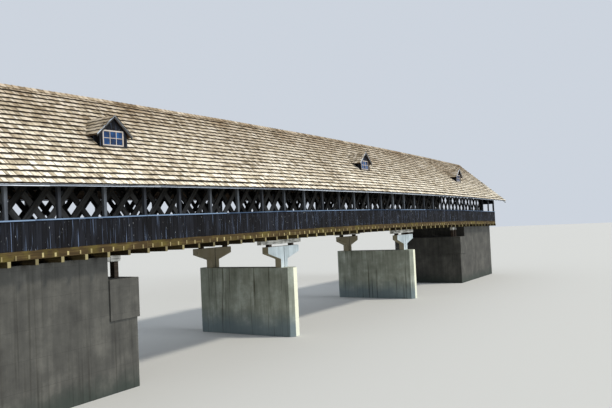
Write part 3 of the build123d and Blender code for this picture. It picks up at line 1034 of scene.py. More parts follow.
@dataclass
class Dormers:
    """Three gabled dormers on each slope, with boarded walls and a six-pane window."""

    places: Triple = (-12.638, 0.914, 13.064)
    wall_y: float = 1.810
    half: float = 0.430
    wall: float = 0.035
    eave_rise: float = 0.300
    gable_rise: float = 0.481
    roof_half: float = 0.544
    roof: float = 0.028
    roof_lap: float = 0.020
    overhang: float = 0.055
    window: float = 0.640
    window_height: float = 0.380
    sill_rise: float = 0.034
    sash: float = 0.032
    sash_depth: float = 0.024
    bar: float = 0.014
    bar_face: float = 0.003
    bar_lap: float = 0.001
    columns: int = 3
    rows: int = 2
    pane: float = 0.003
    pane_tilt: float = 0.002
    pane_set: float = 0.004
    board: float = 0.110
    board_gap: float = 0.001
    barge: float = 0.060
    barge_depth: float = 0.014
    barge_lap: float = 0.001
    drip: float = 0.022
    drip_depth: float = 0.010
    trim_proud: float = 0.004
    apron: float = 0.050
    apron_reach: float = 0.030
    shake_bed: float = 0.012
    shake_overhang: float = 0.008
    shake_lap: float = 0.050
    worn: float = 0.0015

    @property
    def eave(self) -> float:
        """Height of the dormer roofs' eaves."""
        return SIZES.roof_top(self.wall_y) + self.eave_rise

    @property
    def apex(self) -> float:
        """Height of the dormer roofs' ridges."""
        return self.eave + self.gable_rise

    @property
    def slope(self) -> float:
        """Rise of a dormer roof over its run."""
        return self.gable_rise / self.roof_half

    @property
    def angle(self) -> float:
        """Angle of a dormer roof, in radians."""
        return math.atan(self.slope)

    @property
    def sill(self) -> float:
        """Height of the window openings' feet."""
        return SIZES.roof_top(self.wall_y) + self.sill_rise

    @property
    def clear_height(self) -> float:
        """Height of a window inside its sash."""
        return self.window_height - 2 * self.sash

    @property
    def light(self) -> tuple[Span, Span]:
        """Clear opening of a window inside its sash: its sides and its foot and head."""
        side, foot = self.window / 2 - self.sash, self.sill + self.sash
        return (-side, side), (foot, self.sill + self.window_height - self.sash)

    def under_roof(self, offset: float) -> float:
        """Height of the dormer roof's lower face at an offset from its middle."""
        return self.apex - self.roof / math.cos(self.angle) - self.slope * abs(offset)

    def valley(self, offset: float) -> float:
        """Distance from the main ridge, in plan, where the dormer roof meets the main slope."""
        return (SIZES.ridge_top - self.apex + self.slope * abs(offset)) / SIZES.slope

    def gaps(self, y: float, reach: float) -> list[Span]:
        """Stretches along the bridge that the dormers leave uncovered.

        Args:
            y: distance from the ridge, in plan.
            reach: how far what is laid runs in under a dormer.

        Returns:
            The stretches, from end to end of the roof.
        """
        half = min(self.half, (self.apex - SIZES.roof_top(y)) / self.slope) if y <= self.wall_y else 0.0
        half = max(0.0, max(0.0, half) - reach)
        stops = [-SIZES.roof_end]
        for x in self.places if half else ():
            stops += [x - half, x + half]
        stops.append(SIZES.roof_end)
        return list(zip(stops[::2], stops[1::2]))

    def build(self) -> None:
        """Builds each kind of piece at every dormer, in its place on the camber."""
        for name, draw, finish, slot, nodes, seed in (
                ("dormer_boards", self.walls, SIDING, "siding", ("dormer_walls",), 11),
                ("dormer_window_frames", self.frames, SASH, "trim", ("dormer_sashes",), 12),
                ("dormer_panes", self.panes, GLASS, "glass", ("dormer_glass",), 13),
                ("dormer_aprons", self.aprons, CREOSOTED, "dark_timber", (), 17),
                ("dormer_barge_boards", self.barges, CREOSOTED, "dark_timber", (), 14),
                ("dormer_drip_edges", self.drips, TRIM, "trim", (), 18),
                ("dormer_sheathing", self.sheathing, SHEATHING, "shakes", ("dormer_roofs",), 15),
                ("dormer_shakes", self.shakes, SHAKE, "shakes", (), 16)):
            work = Joinery(name, seed, Side.BOTH)
            for x in self.places:
                lean = (SIZES.camber(x + self.half) - SIZES.camber(x - self.half)) / (2 * self.half)
                rise = SIZES.camber(x)
                work.move = lambda point: point + Vector((x, 0.0, rise + point.x * lean))
                draw(work)
            work.finish(finish, slot, *nodes, soften=0.0 if finish is SHAKE else self.worn, with_camber=False)

    def walls(self, work: Joinery) -> None:
        """Adds the boards of one dormer's front and cheeks.

        Args:
            work: the mesh that they go into.
        """
        front = (-self.wall_y, -self.wall_y + self.wall)
        foot, head = SIZES.under_skin(self.wall_y), self.sill + self.window_height
        w = self.window / 2
        for a, b, bands in ((-self.half, -w, [(foot, None)]), (w, self.half, [(foot, None)]),
                            (-w, w, [(foot, self.sill), (head, None)])):
            for s0, s1 in spans(a, b, self.board):
                for low, high in bands:
                    tops = (high, high) if high else (self.under_roof(s0), self.under_roof(s1))
                    work.panel((s0, s1 - self.board_gap), front, (low, low), tops)
        top = self.under_roof(self.half)
        back = (SIZES.ridge_top - top) / SIZES.slope
        for side in (-1, 1):
            x = sorted((side * (self.half - self.wall), side * self.half))
            for y0, y1 in spans(back, self.wall_y - self.wall, self.board):
                work.panel(x, (-y1 + self.board_gap, -y0), (SIZES.under_skin(y1), SIZES.under_skin(y0)),
                           (top, top), Axis.Y, size=Vector((self.wall, y1 - y0, self.eave_rise)))

    def frames(self, work: Joinery) -> None:
        """Adds one window's sash and bars.

        Args:
            work: the mesh that they go into.
        """
        w, low, high = self.window / 2, self.sill, self.sill + self.window_height
        middle = -self.wall_y + self.wall / 2
        y = (middle - self.sash_depth / 2, middle + self.sash_depth / 2)
        sides, levels = self.light
        for x in ((-w, sides[0]), (sides[1], w)):
            work.bar(x, y, (low, high), Axis.Z)
        for z in ((low, levels[0]), (levels[1], high)):
            work.bar(sides, y, z)
        face = (y[0] + self.bar_face, y[1] - self.pane_set)
        for i in range(1, self.columns):
            x = sides[0] + 2 * sides[1] * i / self.columns
            work.bar((x - self.bar / 2, x + self.bar / 2), face, levels, Axis.Z)
        for i in range(1, self.rows):
            z = levels[0] + self.clear_height * i / self.rows
            work.bar(sides, (face[0] - self.bar_lap, face[1]), (z - self.bar / 2, z + self.bar / 2))

    def panes(self, work: Joinery) -> None:
        """Adds the panes of one window, each set a little askew.

        Args:
            work: the mesh that they go into.
        """
        (left, right), (low, _) = self.light
        y = -self.wall_y + self.wall / 2 + self.sash_depth / 2 - self.pane_set
        size = Vector((2 * right / self.columns, self.pane, self.clear_height / self.rows))
        for i in range(self.columns):
            for j in range(self.rows):
                x0, z0 = left + 2 * right * i / self.columns, low + self.clear_height * j / self.rows
                tilt = work.chance.uniform(-self.pane_tilt, self.pane_tilt)
                work.piece(size, lambda c: Vector((
                    x0 + (c.x + 0.5) * size.x, y + c.y * size.y + tilt * c.z * 2, z0 + (c.z + 0.5) * size.z)))

    def aprons(self, work: Joinery) -> None:
        """Adds the board under one window, where the front meets the shakes.

        Args:
            work: the mesh that they go into.
        """
        reach = self.window / 2 + self.apron_reach
        work.bar((-reach, reach), (-self.wall_y - self.barge_depth, -self.wall_y + self.wall / 2),
                 (self.sill - self.apron, self.sill))

    def barges(self, work: Joinery) -> None:
        """Adds the dark boards under one gable's edges."""
        front = -self.wall_y - self.overhang
        self.rake(work, (front - self.barge_depth, front + self.barge_lap), 0.0, self.barge)

    def drips(self, work: Joinery) -> None:
        """Adds the thin pale strips along the top of one gable's barge boards."""
        front = -self.wall_y - self.overhang - self.barge_depth
        self.rake(work, (front - self.drip_depth, front + self.barge_lap), self.trim_proud, self.drip)

    def rake(self, work: Joinery, y: Span, rise: float, depth: float) -> None:
        """Adds a pair of boards that follow one gable's edges and meet at its peak.

        Args:
            work: the mesh that they go into.
            y: their two faces.
            rise: height of their tops over the roof boards.
            depth: their depth, square to the roof.
        """
        drop = depth / math.cos(self.angle)
        for side in (-1, 1):
            x = sorted((0.0, side * (self.roof_half + self.trim_proud)))
            tops = [self.apex + rise - self.slope * abs(end) for end in x]
            work.panel(x, y, [top - drop for top in tops], tops, grain=Axis.X,
                       size=Vector((x[1] - x[0], y[1] - y[0], depth)))

    def sheathing(self, work: Joinery) -> None:
        """Adds the boards of one dormer's roof, which run back into the main slope.

        Args:
            work: the mesh that they go into.
        """
        front = -self.wall_y - self.overhang
        depth = self.roof / math.cos(self.angle)
        for side in (-1, 1):
            for s0, s1 in spans(0.0, self.roof_half, self.board):
                edges = [(side * s, self.roof_lap - self.valley(s), self.apex - self.slope * s)
                         for s in (s0, s1 - self.board_gap)][::side]
                work.piece(Vector((s1 - s0, self.wall_y, self.roof)), lambda c: Vector((
                    edges[c.x > 0][0], edges[c.x > 0][1] if c.y > 0 else front,
                    edges[c.x > 0][2] - (self.shake_bed if c.z > 0 else depth))), Axis.Y)

    def shakes(self, work: Joinery) -> None:
        """Adds the shakes of one dormer's two slopes, which run back under the main roof's shakes.

        Args:
            work: the mesh that they go into.
        """
        front = self.wall_y + self.overhang + self.barge_depth + self.drip_depth + self.shake_overhang
        courses = ShakeCourses(exposure=0.150, base=-0.014, top=0.014, wide=0.160, overhang=0.014)
        for side, start in ((1, -front), (-1, 0.0)):
            slope = Slope(Vector((side * self.roof_half, start, self.eave)), Vector((0, side, 0)),
                          Vector((-side * math.cos(self.angle), 0, math.sin(self.angle))),
                          self.roof_half / math.cos(self.angle))

            def runs(rise: float) -> list[Span]:
                """Stretch of one course, from a little under the main shakes to the front.

                Args:
                    rise: distance up the dormer's slope.

                Returns:
                    The one stretch, from the slope's corner.
                """
                back = self.valley(self.roof_half - rise * math.cos(self.angle)) - self.shake_lap
                return [(0.0, front - back) if side > 0 else (back, front)]

            courses.lay(work, slope, runs)


@dataclass
class Roof:
    """The main roof: sheathing boards, courses of shakes, a shake ridge and the boards at its edges."""

    dormers: Dormers
    board: float = 0.165
    board_depth: float = 0.022
    board_gap: float = 0.006
    # Share of the near black end colour on the boards' long edges: painted shade in the gaps between shakes
    painted_edge_shade: float = 0.9
    boards_under_dormer: float = 0.035
    shakes_under_dormer: float = 0.030
    ridge_width: float = 0.115
    ridge_exposure: float = 0.170
    ridge_lap: float = 1.6
    ridge_thickness: float = 0.012
    ridge_ragged: float = 0.006
    ridge_uneven: float = 0.004
    ridge_tip: Span = (0.016, 0.004)
    ridge_grain: float = 0.080
    fascia_bottom: float = 4.860
    fascia_ragged: float = 0.003
    fascia_length: float = 3.70
    # Dark strip that stands in for the shade under the shakes' overhang
    strip: float = 0.016
    strip_depth: float = 0.010
    barge_depth: float = 0.110
    barge: float = 0.025

    @property
    def length(self) -> float:
        """Length of a slope from eave to ridge."""
        return SIZES.eave_y / math.cos(SIZES.pitch)

    @property
    def slope(self) -> Slope:
        """The near slope, with its corner at the west end of the eave."""
        return Slope(Vector((-SIZES.roof_end, -SIZES.eave_y, SIZES.eave_top)), Vector((1, 0, 0)),
                     Vector((0, math.cos(SIZES.pitch), math.sin(SIZES.pitch))), self.length)

    def gaps(self, rise: float, reach: float) -> list[Span]:
        """Stretches of the slope beside the dormers, at a rise, with a reach in under them."""
        return self.dormers.gaps(SIZES.eave_y - rise * math.cos(SIZES.pitch), reach)

    def build(self) -> None:
        """Builds both slopes, the ridge and the edge boards."""
        for work in pair("shakes", 21):
            ShakeCourses().lay(work, self.slope, lambda rise: [
                (a + SIZES.roof_end, b + SIZES.roof_end)
                for a, b in self.gaps(rise, self.shakes_under_dormer)])
            work.finish(SHAKE, "shakes", f"roof_{work.side.value}", soften=0.0)
        self.sheathing()
        self.barges()
        self.ridge()
        self.fascias()

    def sheathing(self) -> None:
        """Lays the boards under the shakes of both slopes."""
        slope = self.slope
        for work in pair("sheathing", 31):
            work.edge = self.painted_edge_shade
            for low, high in spans(0.0, self.length, self.board):
                for a, b in self.gaps((low + high) / 2, self.boards_under_dormer):
                    for x0, x1 in SIZES.lengths(a, b, SIZES.timber):
                        work.piece(Vector((x1 - x0, high - low - self.board_gap, self.board_depth)),
                                   lambda c: slope.at((x0, x1 - SIZES.tight_joint)[c.x > 0] + SIZES.roof_end,
                                                      (low, high - self.board_gap)[c.y > 0],
                                                      (0.0, self.board_depth)[c.z > 0] - SIZES.skin))
            work.finish(SHEATHING, "shakes", f"roof_{work.side.value}", soften=0.002)

    def barges(self) -> None:
        """Hangs the boards under the roof's edge at both ends of both slopes."""
        drop = self.barge_depth / math.cos(SIZES.pitch)
        heads = (SIZES.under_skin(SIZES.eave_y), SIZES.under_skin(0.0))
        for work in pair("gable_barge_boards", 41):
            for end in (-1, 1):
                x = sorted((end * SIZES.roof_end, end * (SIZES.roof_end - self.barge)))
                work.panel(x, (-SIZES.eave_y, 0.0), [head - drop for head in heads], heads, Axis.Y, Axis.Y,
                           Vector((self.barge, self.length, self.barge_depth)))
            work.finish(TRIM, "trim", f"barge_boards_{work.side.value}")

    def ridge(self) -> None:
        """Laps short shakes over the ridge on both sides."""
        work = Joinery("ridge_shakes", 25, Side.BOTH)
        slope = self.slope
        for x0, x1 in spans(-SIZES.roof_end, SIZES.roof_end, self.ridge_exposure):
            foot = self.length - self.ridge_width + work.chance.uniform(-self.ridge_ragged, self.ridge_ragged)
            lift = work.chance.uniform(0.0, self.ridge_uneven)
            size = Vector((self.ridge_width, self.ridge_lap * (x1 - x0), self.ridge_thickness))

            def place(corner: Vector) -> Vector:
                """Puts a corner of a ridge shake.

                Args:
                    corner: a corner of the unit cube.

                Returns:
                    Its place.
                """
                first = corner.y < 0
                x = x0 if first else min(x0 + size.y, SIZES.roof_end)
                height = (self.ridge_tip[0] + lift if first else self.ridge_tip[1]) \
                    + (self.ridge_thickness if corner.z > 0 else 0.0)
                rise = foot if corner.x < 0 else self.length + height * SIZES.slope
                return slope.at(x + SIZES.roof_end, rise, height)

            work.piece(size, place, Axis.Y, start=self.ridge_grain)
        work.finish(SHAKE, "shakes", "ridge_cap", soften=0.0015)

    def fascias(self) -> None:
        """Hangs the pale boards behind both eaves, with a dark strip as painted shade under the shakes."""
        work = Joinery("eave_fascia_boards", 26, Side.BOTH)
        strips = Joinery("eave_shadow_strips", 27, Side.BOTH)
        front = SIZES.fascia_y + self.strip_depth
        top, end = SIZES.under_skin(front), SIZES.roof_end - self.barge
        for x0, x1 in SIZES.lengths(-end, end, self.fascia_length):
            x = (x0, x1 - SIZES.plank_joint)
            drop = work.chance.uniform(-self.fascia_ragged, self.fascia_ragged)
            work.bar(x, (-SIZES.fascia_y, -(SIZES.fascia_y - SIZES.fascia)),
                     (self.fascia_bottom + drop, SIZES.under_skin(SIZES.fascia_y)))
            strips.bar(x, (-front, -SIZES.fascia_y), (top - self.strip, top))
        work.finish(TRIM, "trim", "eave_fascias")
        strips.finish(CREOSOTED, "trim", "eave_fascias")


@dataclass
class RoofFrame:
    """Rafters, tie beams and eave plates that carry the roof."""

    rafter_width: float = 0.060
    tie_width: float = 0.090
    tie_top: float = 5.9009
    tie_reach: float = 1.571
    plate_depth: float = 0.100

    @property
    def rafter_drop(self) -> float:
        """Upright depth of a rafter."""
        return SIZES.rafter_depth / math.cos(SIZES.pitch)

    @property
    def plate(self) -> Span:
        """Bottom and top of the eave plates."""
        top = SIZES.under_skin(SIZES.post_faces[0]) - self.rafter_drop
        return top - self.plate_depth, top

    def places(self) -> Iterator[float]:
        """Spaces the frames along the bridge, inside the portals.

        Yields:
            The middle of each frame.
        """
        limit = SIZES.half_length - self.tie_width / 2
        for i in range(-SIZES.half_bays, SIZES.half_bays + 1):
            yield min(max(i * SIZES.bay, -limit), limit)

    def build(self) -> None:
        """Builds the tie beams, the rafters and the plates."""
        ties, half = Joinery("tie_timbers", 31), self.tie_width / 2
        for x in self.places():
            ties.bar((x - half, x + half), (-self.tie_reach, self.tie_reach),
                     (SIZES.truss_top, self.tie_top), Axis.Y)
        ties.finish(CREOSOTED, "dark_timber", "tie_beams")
        self.rafters()
        plates = Joinery("eave_plate_timbers", 34, Side.BOTH)
        plates.run(SIZES.post_faces, self.plate, SIZES.timber, SIZES.tight_joint)
        plates.finish(CREOSOTED, "dark_timber", "eave_plates")

    def rafters(self) -> None:
        """Sets the rafters of both slopes, with their feet cut to half depth behind the fascia."""
        foot = SIZES.fascia_y - SIZES.fascia
        feet = (SIZES.rafter_depth / 2 - foot, -foot)
        tops = (SIZES.under_skin(foot), SIZES.under_skin(0.0))
        drops = (self.rafter_drop / 2, self.rafter_drop)
        for work in pair("rafter_timbers", 32):
            for x in self.places():
                work.piece(Vector((self.rafter_width, SIZES.eave_y, SIZES.rafter_depth)), lambda c: Vector((
                    x + c.x * self.rafter_width, 0.0 if c.y > 0 else feet[c.z > 0],
                    tops[c.y > 0] - (0.0 if c.z > 0 else drops[c.y > 0]))), Axis.Y)
            work.finish(CREOSOTED, "dark_timber", f"rafters_{work.side.value}")


@dataclass
class Trusses:
    """Two plank lattice trusses, pegged where the planks cross and clamped by chord planks."""

    spacing: float = 0.6096
    angle: float = 50.0
    plank: float = 0.140
    plank_uneven: float = 0.0015
    chord_depth: float = 0.140
    second_chord: float = 0.430
    chord_length: float = 3.66
    peg: float = 0.012
    peg_proud: float = 0.006
    peg_offset: float = 0.028
    peg_drift: Span = (-0.3, 1.0)
    pegged: Span = (0.03, 0.97)

    @property
    def height(self) -> float:
        """Height of a truss."""
        return SIZES.truss_top - SIZES.beam_top

    @property
    def run(self) -> float:
        """How far a plank leans along the bridge."""
        return self.height / math.tan(math.radians(self.angle))

    def feet(self) -> list[float]:
        """Places of the planks' feet, past both ends of the bridge."""
        count = round(SIZES.half_length / self.spacing) + math.ceil(self.run / self.spacing)
        return [(i + 0.5) * self.spacing for i in range(-count, count)]

    def build(self) -> None:
        """Builds both trusses."""
        top = SIZES.truss_top - self.chord_depth
        self.planks()
        self.pegs()
        self.chords("lower", (SIZES.beam_top, SIZES.beam_top + self.second_chord), 45)
        self.chords("upper", (top, top - self.second_chord), 47)

    def planks(self) -> None:
        """Sets the planks of both trusses in two layers that lean opposite ways."""
        slant = math.sin(math.radians(self.angle))
        half = self.plank / 2 / slant
        size = Vector((self.height / slant, SIZES.web, self.plank))
        for work in pair("lattice_planks", 41):
            for lean in (1, -1):
                layer = sorted((-SIZES.truss_y, lean * -SIZES.web - SIZES.truss_y))
                for x in self.feet():
                    ends = sorted((x, x + lean * self.run))
                    if ends[1] < -SIZES.half_length - half or ends[0] > SIZES.half_length + half:
                        continue
                    lift = work.chance.uniform(-self.plank_uneven, 0.0)
                    sides = (layer[0] + (lift if lean > 0 else 0.0), layer[1])
                    made = work.piece(size, lambda c: Vector((
                        x + lean * self.run * (c.x + 0.5) + c.z * 2 * half * lean, sides[c.y > 0],
                        SIZES.beam_top + self.height * (c.x + 0.5))))
                    if lean < 0:
                        faces = {face for corner in made for face in corner.link_faces}
                        bmesh.ops.reverse_faces(work.mesh, faces=list(faces))
            nodes = [f"lattice_{work.side.value}_{part}" for part in ("west", "middle", "east")]
            work.finish(CREOSOTED, "dark_timber", *nodes, soften=0.002, limit=SIZES.half_length)

    def crossings(self) -> Iterator[Span]:
        """Finds where planks cross, away from the ends.

        Yields:
            The place along the bridge and the height.
        """
        feet, end = self.feet(), SIZES.half_length - self.plank / 2
        for x in feet:
            for other in feet:
                share = (other - x) / (2 * self.run)
                if self.pegged[0] < share < self.pegged[1] and abs((x + other) / 2) < end:
                    yield (x + other) / 2, SIZES.beam_top + self.height * share

    def pegs(self) -> None:
        """Drives two wooden pegs through each crossing of both trusses."""
        for side, seed in ((Side.NEAR, 43), (Side.FAR, 44)):
            mesh, chance = bmesh.new(), random.Random(seed)
            for x, z in self.crossings():
                for way in (-1, 1):
                    place = Matrix.Translation((x + way * self.peg_offset, -SIZES.truss_y,
                                                z + way * self.peg_offset * chance.uniform(*self.peg_drift)))
                    bmesh.ops.create_cone(mesh, cap_ends=True, segments=6, radius1=self.peg, radius2=self.peg,
                                          depth=2 * (SIZES.web + self.peg_proud),
                                          matrix=place @ Matrix.Rotation(math.pi / 2, 4, "X"))
            publish("lattice_pegs_" + side.value, mesh, PEG, "dark_timber", side=side, with_camber=True)

    def chords(self, name: str, levels: Span, seed: int) -> None:
        """Clamps chord planks on both faces of both trusses.

        Args:
            name: lower or upper.
            levels: heights of the planks' feet.
            seed: where the random draws start.
        """
        for work in pair(name + "_chord_planks", seed):
            for level in levels:
                for way in (-1, 1):
                    faces = sorted(way * out - SIZES.truss_y for out in (SIZES.web, SIZES.chord_face))
                    work.run(faces, (level, level + self.chord_depth), self.chord_length,
                             SIZES.plank_joint)
            work.finish(CREOSOTED, "dark_timber", f"{name}_chords_{work.side.value}")


@dataclass
class Walkways:
    """Outside walkways: boarded rail and its cap, posts, deck boards and the stringer below."""

    boards_per_bay: int = 8
    gap: float = 0.004
    ragged: float = 0.006
    uneven: float = 0.003
    cap: float = 0.028
    cap_overhang: float = 0.026
    cap_length: float = 3.05
    stringer: float = 0.070
    stringer_tone: float = 0.25
    joist_ends_per_bay: int = 4
    joist_end: Span = (0.050, 0.105)
    joist_end_shift: float = 0.010
    joist_end_rise: Span = (0.004, 0.022)
    joist_end_widths: Span = (0.7, 1.15)
    joist_end_heights: Span = (0.75, 1.0)
    joist_end_proud: float = 0.013
    joist_end_depths: Span = (0.3, 1.0)
    joist_end_root: float = 0.020
    deck_board: float = 0.150
    deck_length: float = 3.66

    def build(self) -> None:
        """Builds both walkways."""
        self.rails()
        self.posts()
        self.caps()
        self.stringers()
        deck = Joinery("walkway_deck_boards", 57, Side.BOTH)
        inner, outer = SIZES.truss_faces[1] + SIZES.seam, SIZES.siding_y - self.stringer - SIZES.seam
        for y0, y1 in spans(-outer, -inner, self.deck_board):
            deck.run((y0, y1 - self.gap), (SIZES.joist_top, SIZES.deck_top), self.deck_length,
                     SIZES.plank_joint)
        deck.finish(DECK, "floor_timber", "walkway_decks")

    def rails(self) -> None:
        """Nails the upright boards of both rails."""
        for work in pair("rail_boards", 51):
            for x0, x1 in spans(-SIZES.half_length, SIZES.half_length, SIZES.bay / self.boards_per_bay):
                out = work.chance.uniform(0.0, self.uneven)
                foot = SIZES.stringer_top + work.chance.uniform(-self.ragged, self.ragged)
                work.bar((x0, x1 - self.gap), (-SIZES.siding_y - out, -SIZES.siding_y + SIZES.siding - out),
                         (foot, SIZES.rail_top - self.cap), Axis.Z)
            work.finish(SIDING, "siding", f"rail_siding_{work.side.value}")

    def posts(self) -> None:
        """Stands the posts of both walkways."""
        for work in pair("walkway_posts", 53):
            for x in SIZES.across(SIZES.bay, SIZES.post):
                work.bar(x, SIZES.post_faces, (SIZES.stringer_top, RoofFrame().plate[0]), Axis.Z)
            work.finish(POST, "dark_timber", f"posts_{work.side.value}", soften=0.006)

    def caps(self) -> None:
        """Lays the caps of both rails."""
        work, end = Joinery("rail_cap_planks", 55, Side.BOTH), SIZES.half_length
        y = (-SIZES.siding_y - self.cap_overhang, -SIZES.siding_y + SIZES.siding)
        for x0, x1 in SIZES.lengths(-end, end, self.cap_length):
            lift = work.chance.uniform(0.0, self.uneven)
            work.bar((x0, x1 - self.gap), y, (SIZES.rail_top - self.cap + lift, SIZES.rail_top + lift))
        work.finish(CAP, "rail_cap", "rail_caps")

    def stringers(self) -> None:
        """Runs the edge stringers, with the joist ends that come through to their faces."""
        work, end = Joinery("edge_stringer_timbers", 56, Side.BOTH), SIZES.half_length
        face, chance = -SIZES.siding_y, work.chance
        work.run((face, face + self.stringer), (SIZES.beam_top, SIZES.stringer_top), SIZES.timber,
                 SIZES.tight_joint, self.stringer_tone)
        width, height = self.joist_end
        for x0, x1 in spans(-end, end, SIZES.bay / self.joist_ends_per_bay):
            middle = (x0 + x1) / 2 + chance.uniform(-self.joist_end_shift, self.joist_end_shift)
            foot = SIZES.beam_top + chance.uniform(*self.joist_end_rise)
            half = width / 2 * chance.uniform(*self.joist_end_widths)
            head = foot + height * chance.uniform(*self.joist_end_heights)
            proud = self.joist_end_proud * chance.uniform(*self.joist_end_depths)
            work.bar((middle - half, middle + half), (face - proud, face + self.joist_end_root),
                     (foot, head), Axis.Y)
        work.finish(FLOOR, "floor_timber", "edge_stringers")


@dataclass
class Floor:
    """The road's floor: beams across the bridge, joists and planks."""

    beam: float = 0.080
    beam_end: float = 2.390
    joist: float = 0.060
    plank: float = 0.1524
    gap: float = 0.004
    uneven: float = 0.002

    def build(self) -> None:
        """Builds the floor."""
        beams, joists, planks = (Joinery(name, seed) for name, seed in (
            ("floor_beam_timbers", 61), ("joist_timbers", 62), ("road_planks", 63)))
        for x in SIZES.across(SIZES.bay / 2, self.beam):
            beams.bar(x, (-self.beam_end, self.beam_end), (SIZES.beam_bottom, SIZES.beam_top), Axis.Y)
        beams.finish(BEAM, "floor_timber", "floor_beams", soften=0.005)
        inside, outside = SIZES.truss_faces
        road, walk = inside - self.joist, outside + self.joist
        for y in (-walk, -road, 0.0, road, walk):
            joists.run((y - self.joist / 2, y + self.joist / 2), (SIZES.beam_top, SIZES.joist_top),
                       SIZES.timber, SIZES.tight_joint)
        joists.finish(BEAM, "floor_timber", "floor_joists")
        reach = inside - SIZES.seam
        for x0, x1 in spans(-SIZES.half_length, SIZES.half_length, self.plank):
            top = SIZES.deck_top - planks.chance.uniform(0.0, self.uneven)
            planks.bar((x0, x1 - self.gap), (-reach, reach), (SIZES.joist_top, top), Axis.Y)
        planks.finish(DECK, "floor_timber", "road_deck")


@dataclass
class Portals:
    """Boarded end walls, cased round the road and both walkways."""

    thickness: float = 0.028
    road_height: float = 2.050
    walk_height: float = 1.150
    jamb: float = 0.040
    board: float = 0.152
    gap: float = 0.003
    road_casing: float = 0.100
    walk_casing: float = 0.050
    casing_proud: float = 0.018

    @property
    def openings(self) -> list[tuple[float, float, float, float]]:
        """Openings from the near side.

        Returns:
            Both sides, the height and the casing's width of each.
        """
        inside, outside = SIZES.truss_faces
        road, inner, outer = inside - self.jamb, outside + self.jamb, -SIZES.post_faces[1] - self.jamb
        walk = (self.walk_height, self.walk_casing)
        return [(-outer, -inner, *walk), (-road, road, self.road_height, self.road_casing),
                (inner, outer, *walk)]

    def build(self) -> None:
        """Builds both end walls."""
        for name, end, seed in (("west", -1, 71), ("east", 1, 72)):
            wall, casing = Joinery("portal_boards_" + name, seed), Joinery("portal_casing_" + name, seed + 2)
            outside = end * (SIZES.half_length + self.thickness)
            self.boards(wall, sorted((end * SIZES.half_length, outside)))
            self.casings(casing, sorted((outside, outside + end * self.casing_proud)))
            wall.finish(SIDING, "dark_timber", "portal_" + name, soften=0.002)
            casing.finish(POST, "dark_timber", soften=0.002)

    def boards(self, work: Joinery, x: Span) -> None:
        """Nails the upright boards of one wall, cut to the roof's slope at their heads.

        Args:
            work: the mesh that they go into.
            x: the wall's two faces.
        """
        outer = SIZES.post_faces[1]
        stops = sorted([-outer, 0.0, outer] + [y for opening in self.openings for y in opening[:2]])
        for a, b in zip(stops, stops[1:]):
            over = [o[2] for o in self.openings if o[0] - ROUNDING <= a and b <= o[1] + ROUNDING]
            foot = SIZES.deck_top + (over[0] if over else 0.0)
            for y0, y1 in spans(a, b, self.board):
                y = (y0, y1 - self.gap)
                work.panel(x, y, (foot, foot), [SIZES.under_skin(side) for side in y], Axis.Y)

    def casings(self, work: Joinery, x: Span) -> None:
        """Nails the casing round each opening.

        Args:
            work: the mesh that it goes into.
            x: the casing's two faces.
        """
        for y0, y1, height, width in self.openings:
            top = SIZES.deck_top + height
            work.bar(x, (y0 - width / 2, y0), (SIZES.deck_top, top), Axis.Z)
            work.bar(x, (y1, y1 + width / 2), (SIZES.deck_top, top), Axis.Z)
            work.bar(x, (y0 - width / 2, y1 + width / 2), (top, top + width), Axis.Y)


@dataclass
class Masonry:
    """Concrete piers, their heads and the abutments, with the timbers that rest on them."""

    arris: float = 0.010
    block_edge: float = 0.004
    merge: float = 0.00005
    flat: float = math.radians(1.0)
    sharp: float = math.radians(20)

    def build(self) -> None:
        """Builds everything below the floor."""
        for end in ("west", "east"):
            self.worn("pier_wall_" + end, PIER, "concrete", self.arris, 2)
            self.worn("pier_heads_" + end, HEAD, "pale_concrete", self.arris, 2)
            self.worn("abutment_" + end, ABUTMENT, "concrete", self.arris, 2)
        self.worn("bolsters", BOLSTER, "weathered_timber", self.block_edge, 1)
        self.worn("bearing_blocks", BLOCK, "dark_timber", self.block_edge, 1)

    def worn(self, node: str, finish: Finish, slot: str, width: float, segments: int) -> None:
        """Makes a copy of a solid with worn edges, in place of the solid.

        Args:
            node: the solid's name.
            finish: what it is made of.
            slot: the record's material slot.
            width: width of the worn edges.
            segments: how many faces round each edge.
        """
        mesh = bmesh.new()
        mesh.from_mesh(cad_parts[node].data)
        bmesh.ops.remove_doubles(mesh, verts=mesh.verts[:], dist=self.merge)
        bmesh.ops.dissolve_limit(mesh, angle_limit=self.flat, verts=mesh.verts[:], edges=mesh.edges[:])
        wear(mesh, [edge for edge in mesh.edges if edge.calc_face_angle(0.0) > self.sharp], width, segments)
        publish(node + "_surface", mesh, finish, slot, [node])


@dataclass(frozen=True)
class Lamp:
    """One broad lamp: where it stands, in degrees from the near side and over the floor, and its light."""

    name: str
    azimuth: float
    height: float
    strength: float
    width: float
    colour: str

    def hang(self) -> None:
        """Puts the lamp in the scene."""
        data = bpy.data.lights.new(self.name, "SUN")
        data.energy, data.angle = self.strength, math.radians(self.width)
        data.color = linear(self.colour)[:3]
        across, height = math.radians(self.azimuth), math.radians(self.height)
        towards = Vector((math.sin(across) * math.cos(height), -math.cos(across) * math.cos(height),
                          math.sin(height)))
        show(self.name, data).rotation_euler = towards.to_track_quat("Z", "Y").to_euler()


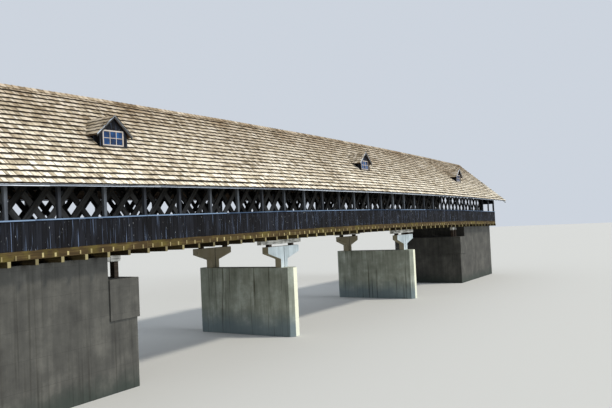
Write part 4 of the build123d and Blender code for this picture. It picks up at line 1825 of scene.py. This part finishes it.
@dataclass
class Studio:
    """The pale floor, the light and the camera."""

    place: Triple = (-23.326, -13.800, 3.722)
    yaw: float = 31.745
    pitch: float = 1.843
    roll: float = -2.612
    focal: float = 640.0
    frame_width: float = 612.0
    sensor: float = 36.0
    sight: float = 1000.0
    floor_size: float = 400.0
    floor_squares: int = 4
    lamps: tuple[Lamp, ...] = (Lamp("key", 22.0, 50.0, 2.6, 7.0, "#FFF8EC"),
                               Lamp("fill", 5.0, 14.0, 2.3, 28.0, "#E8F0FA"))
    sky: str = "#E2EAF5"
    sky_strength: float = 0.8

    def build(self) -> None:
        """Sets the camera, lays the floor at the water line and lights them."""
        self.camera()
        mesh = bmesh.new()
        bmesh.ops.create_grid(mesh, x_segments=self.floor_squares, y_segments=self.floor_squares,
                              size=self.floor_size / 2)
        floor = solid("studio_floor", mesh, FLOOR_PAINT)
        self.lights()

    def camera(self) -> None:
        """Sets the camera where the picture was taken from."""
        yaw, pitch, roll = (math.radians(a) for a in (self.yaw, self.pitch, self.roll))
        ahead = Vector((math.cos(yaw) * math.cos(pitch), math.sin(yaw) * math.cos(pitch), math.sin(pitch)))
        level = Vector((math.sin(yaw), -math.cos(yaw), 0.0))
        above = level.cross(ahead)
        right = level * math.cos(roll) + above * math.sin(roll)
        up = above * math.cos(roll) - level * math.sin(roll)
        data = bpy.data.cameras.new("camera")
        data.sensor_width = self.sensor
        data.lens = self.focal / self.frame_width * self.sensor
        data.clip_end = self.sight
        camera = show("camera", data)
        turn = Matrix((right, up, -ahead)).transposed().to_4x4()
        camera.matrix_world = Matrix.Translation(self.place) @ turn
        bpy.context.scene.camera = camera

    def lights(self) -> None:
        """Hangs a high key lamp and a low soft one, and fills the rest with pale light."""
        for lamp in self.lamps:
            lamp.hang()
        world = bpy.data.worlds.new("studio_light")
        world.use_nodes = True
        world.node_tree.nodes.clear()
        sky = add(world.node_tree, "Background", (self.sky, self.sky_strength))
        add(world.node_tree, "OutputWorld", (sky,))
        bpy.context.scene.world = world
        bpy.context.scene.view_settings.view_transform = "Standard"


def main() -> None:
    """Builds the scene, from the camera to the last piece."""
    logging.basicConfig(level=logging.INFO, format="%(message)s")
    dormers = Dormers()
    for part in (Studio(), Roof(dormers), dormers, RoofFrame(), Trusses(), Walkways(), Floor(), Portals(),
                 Masonry()):
        part.build()
        log.info("%s done", type(part).__name__)


if __name__ == "__main__":
    main()
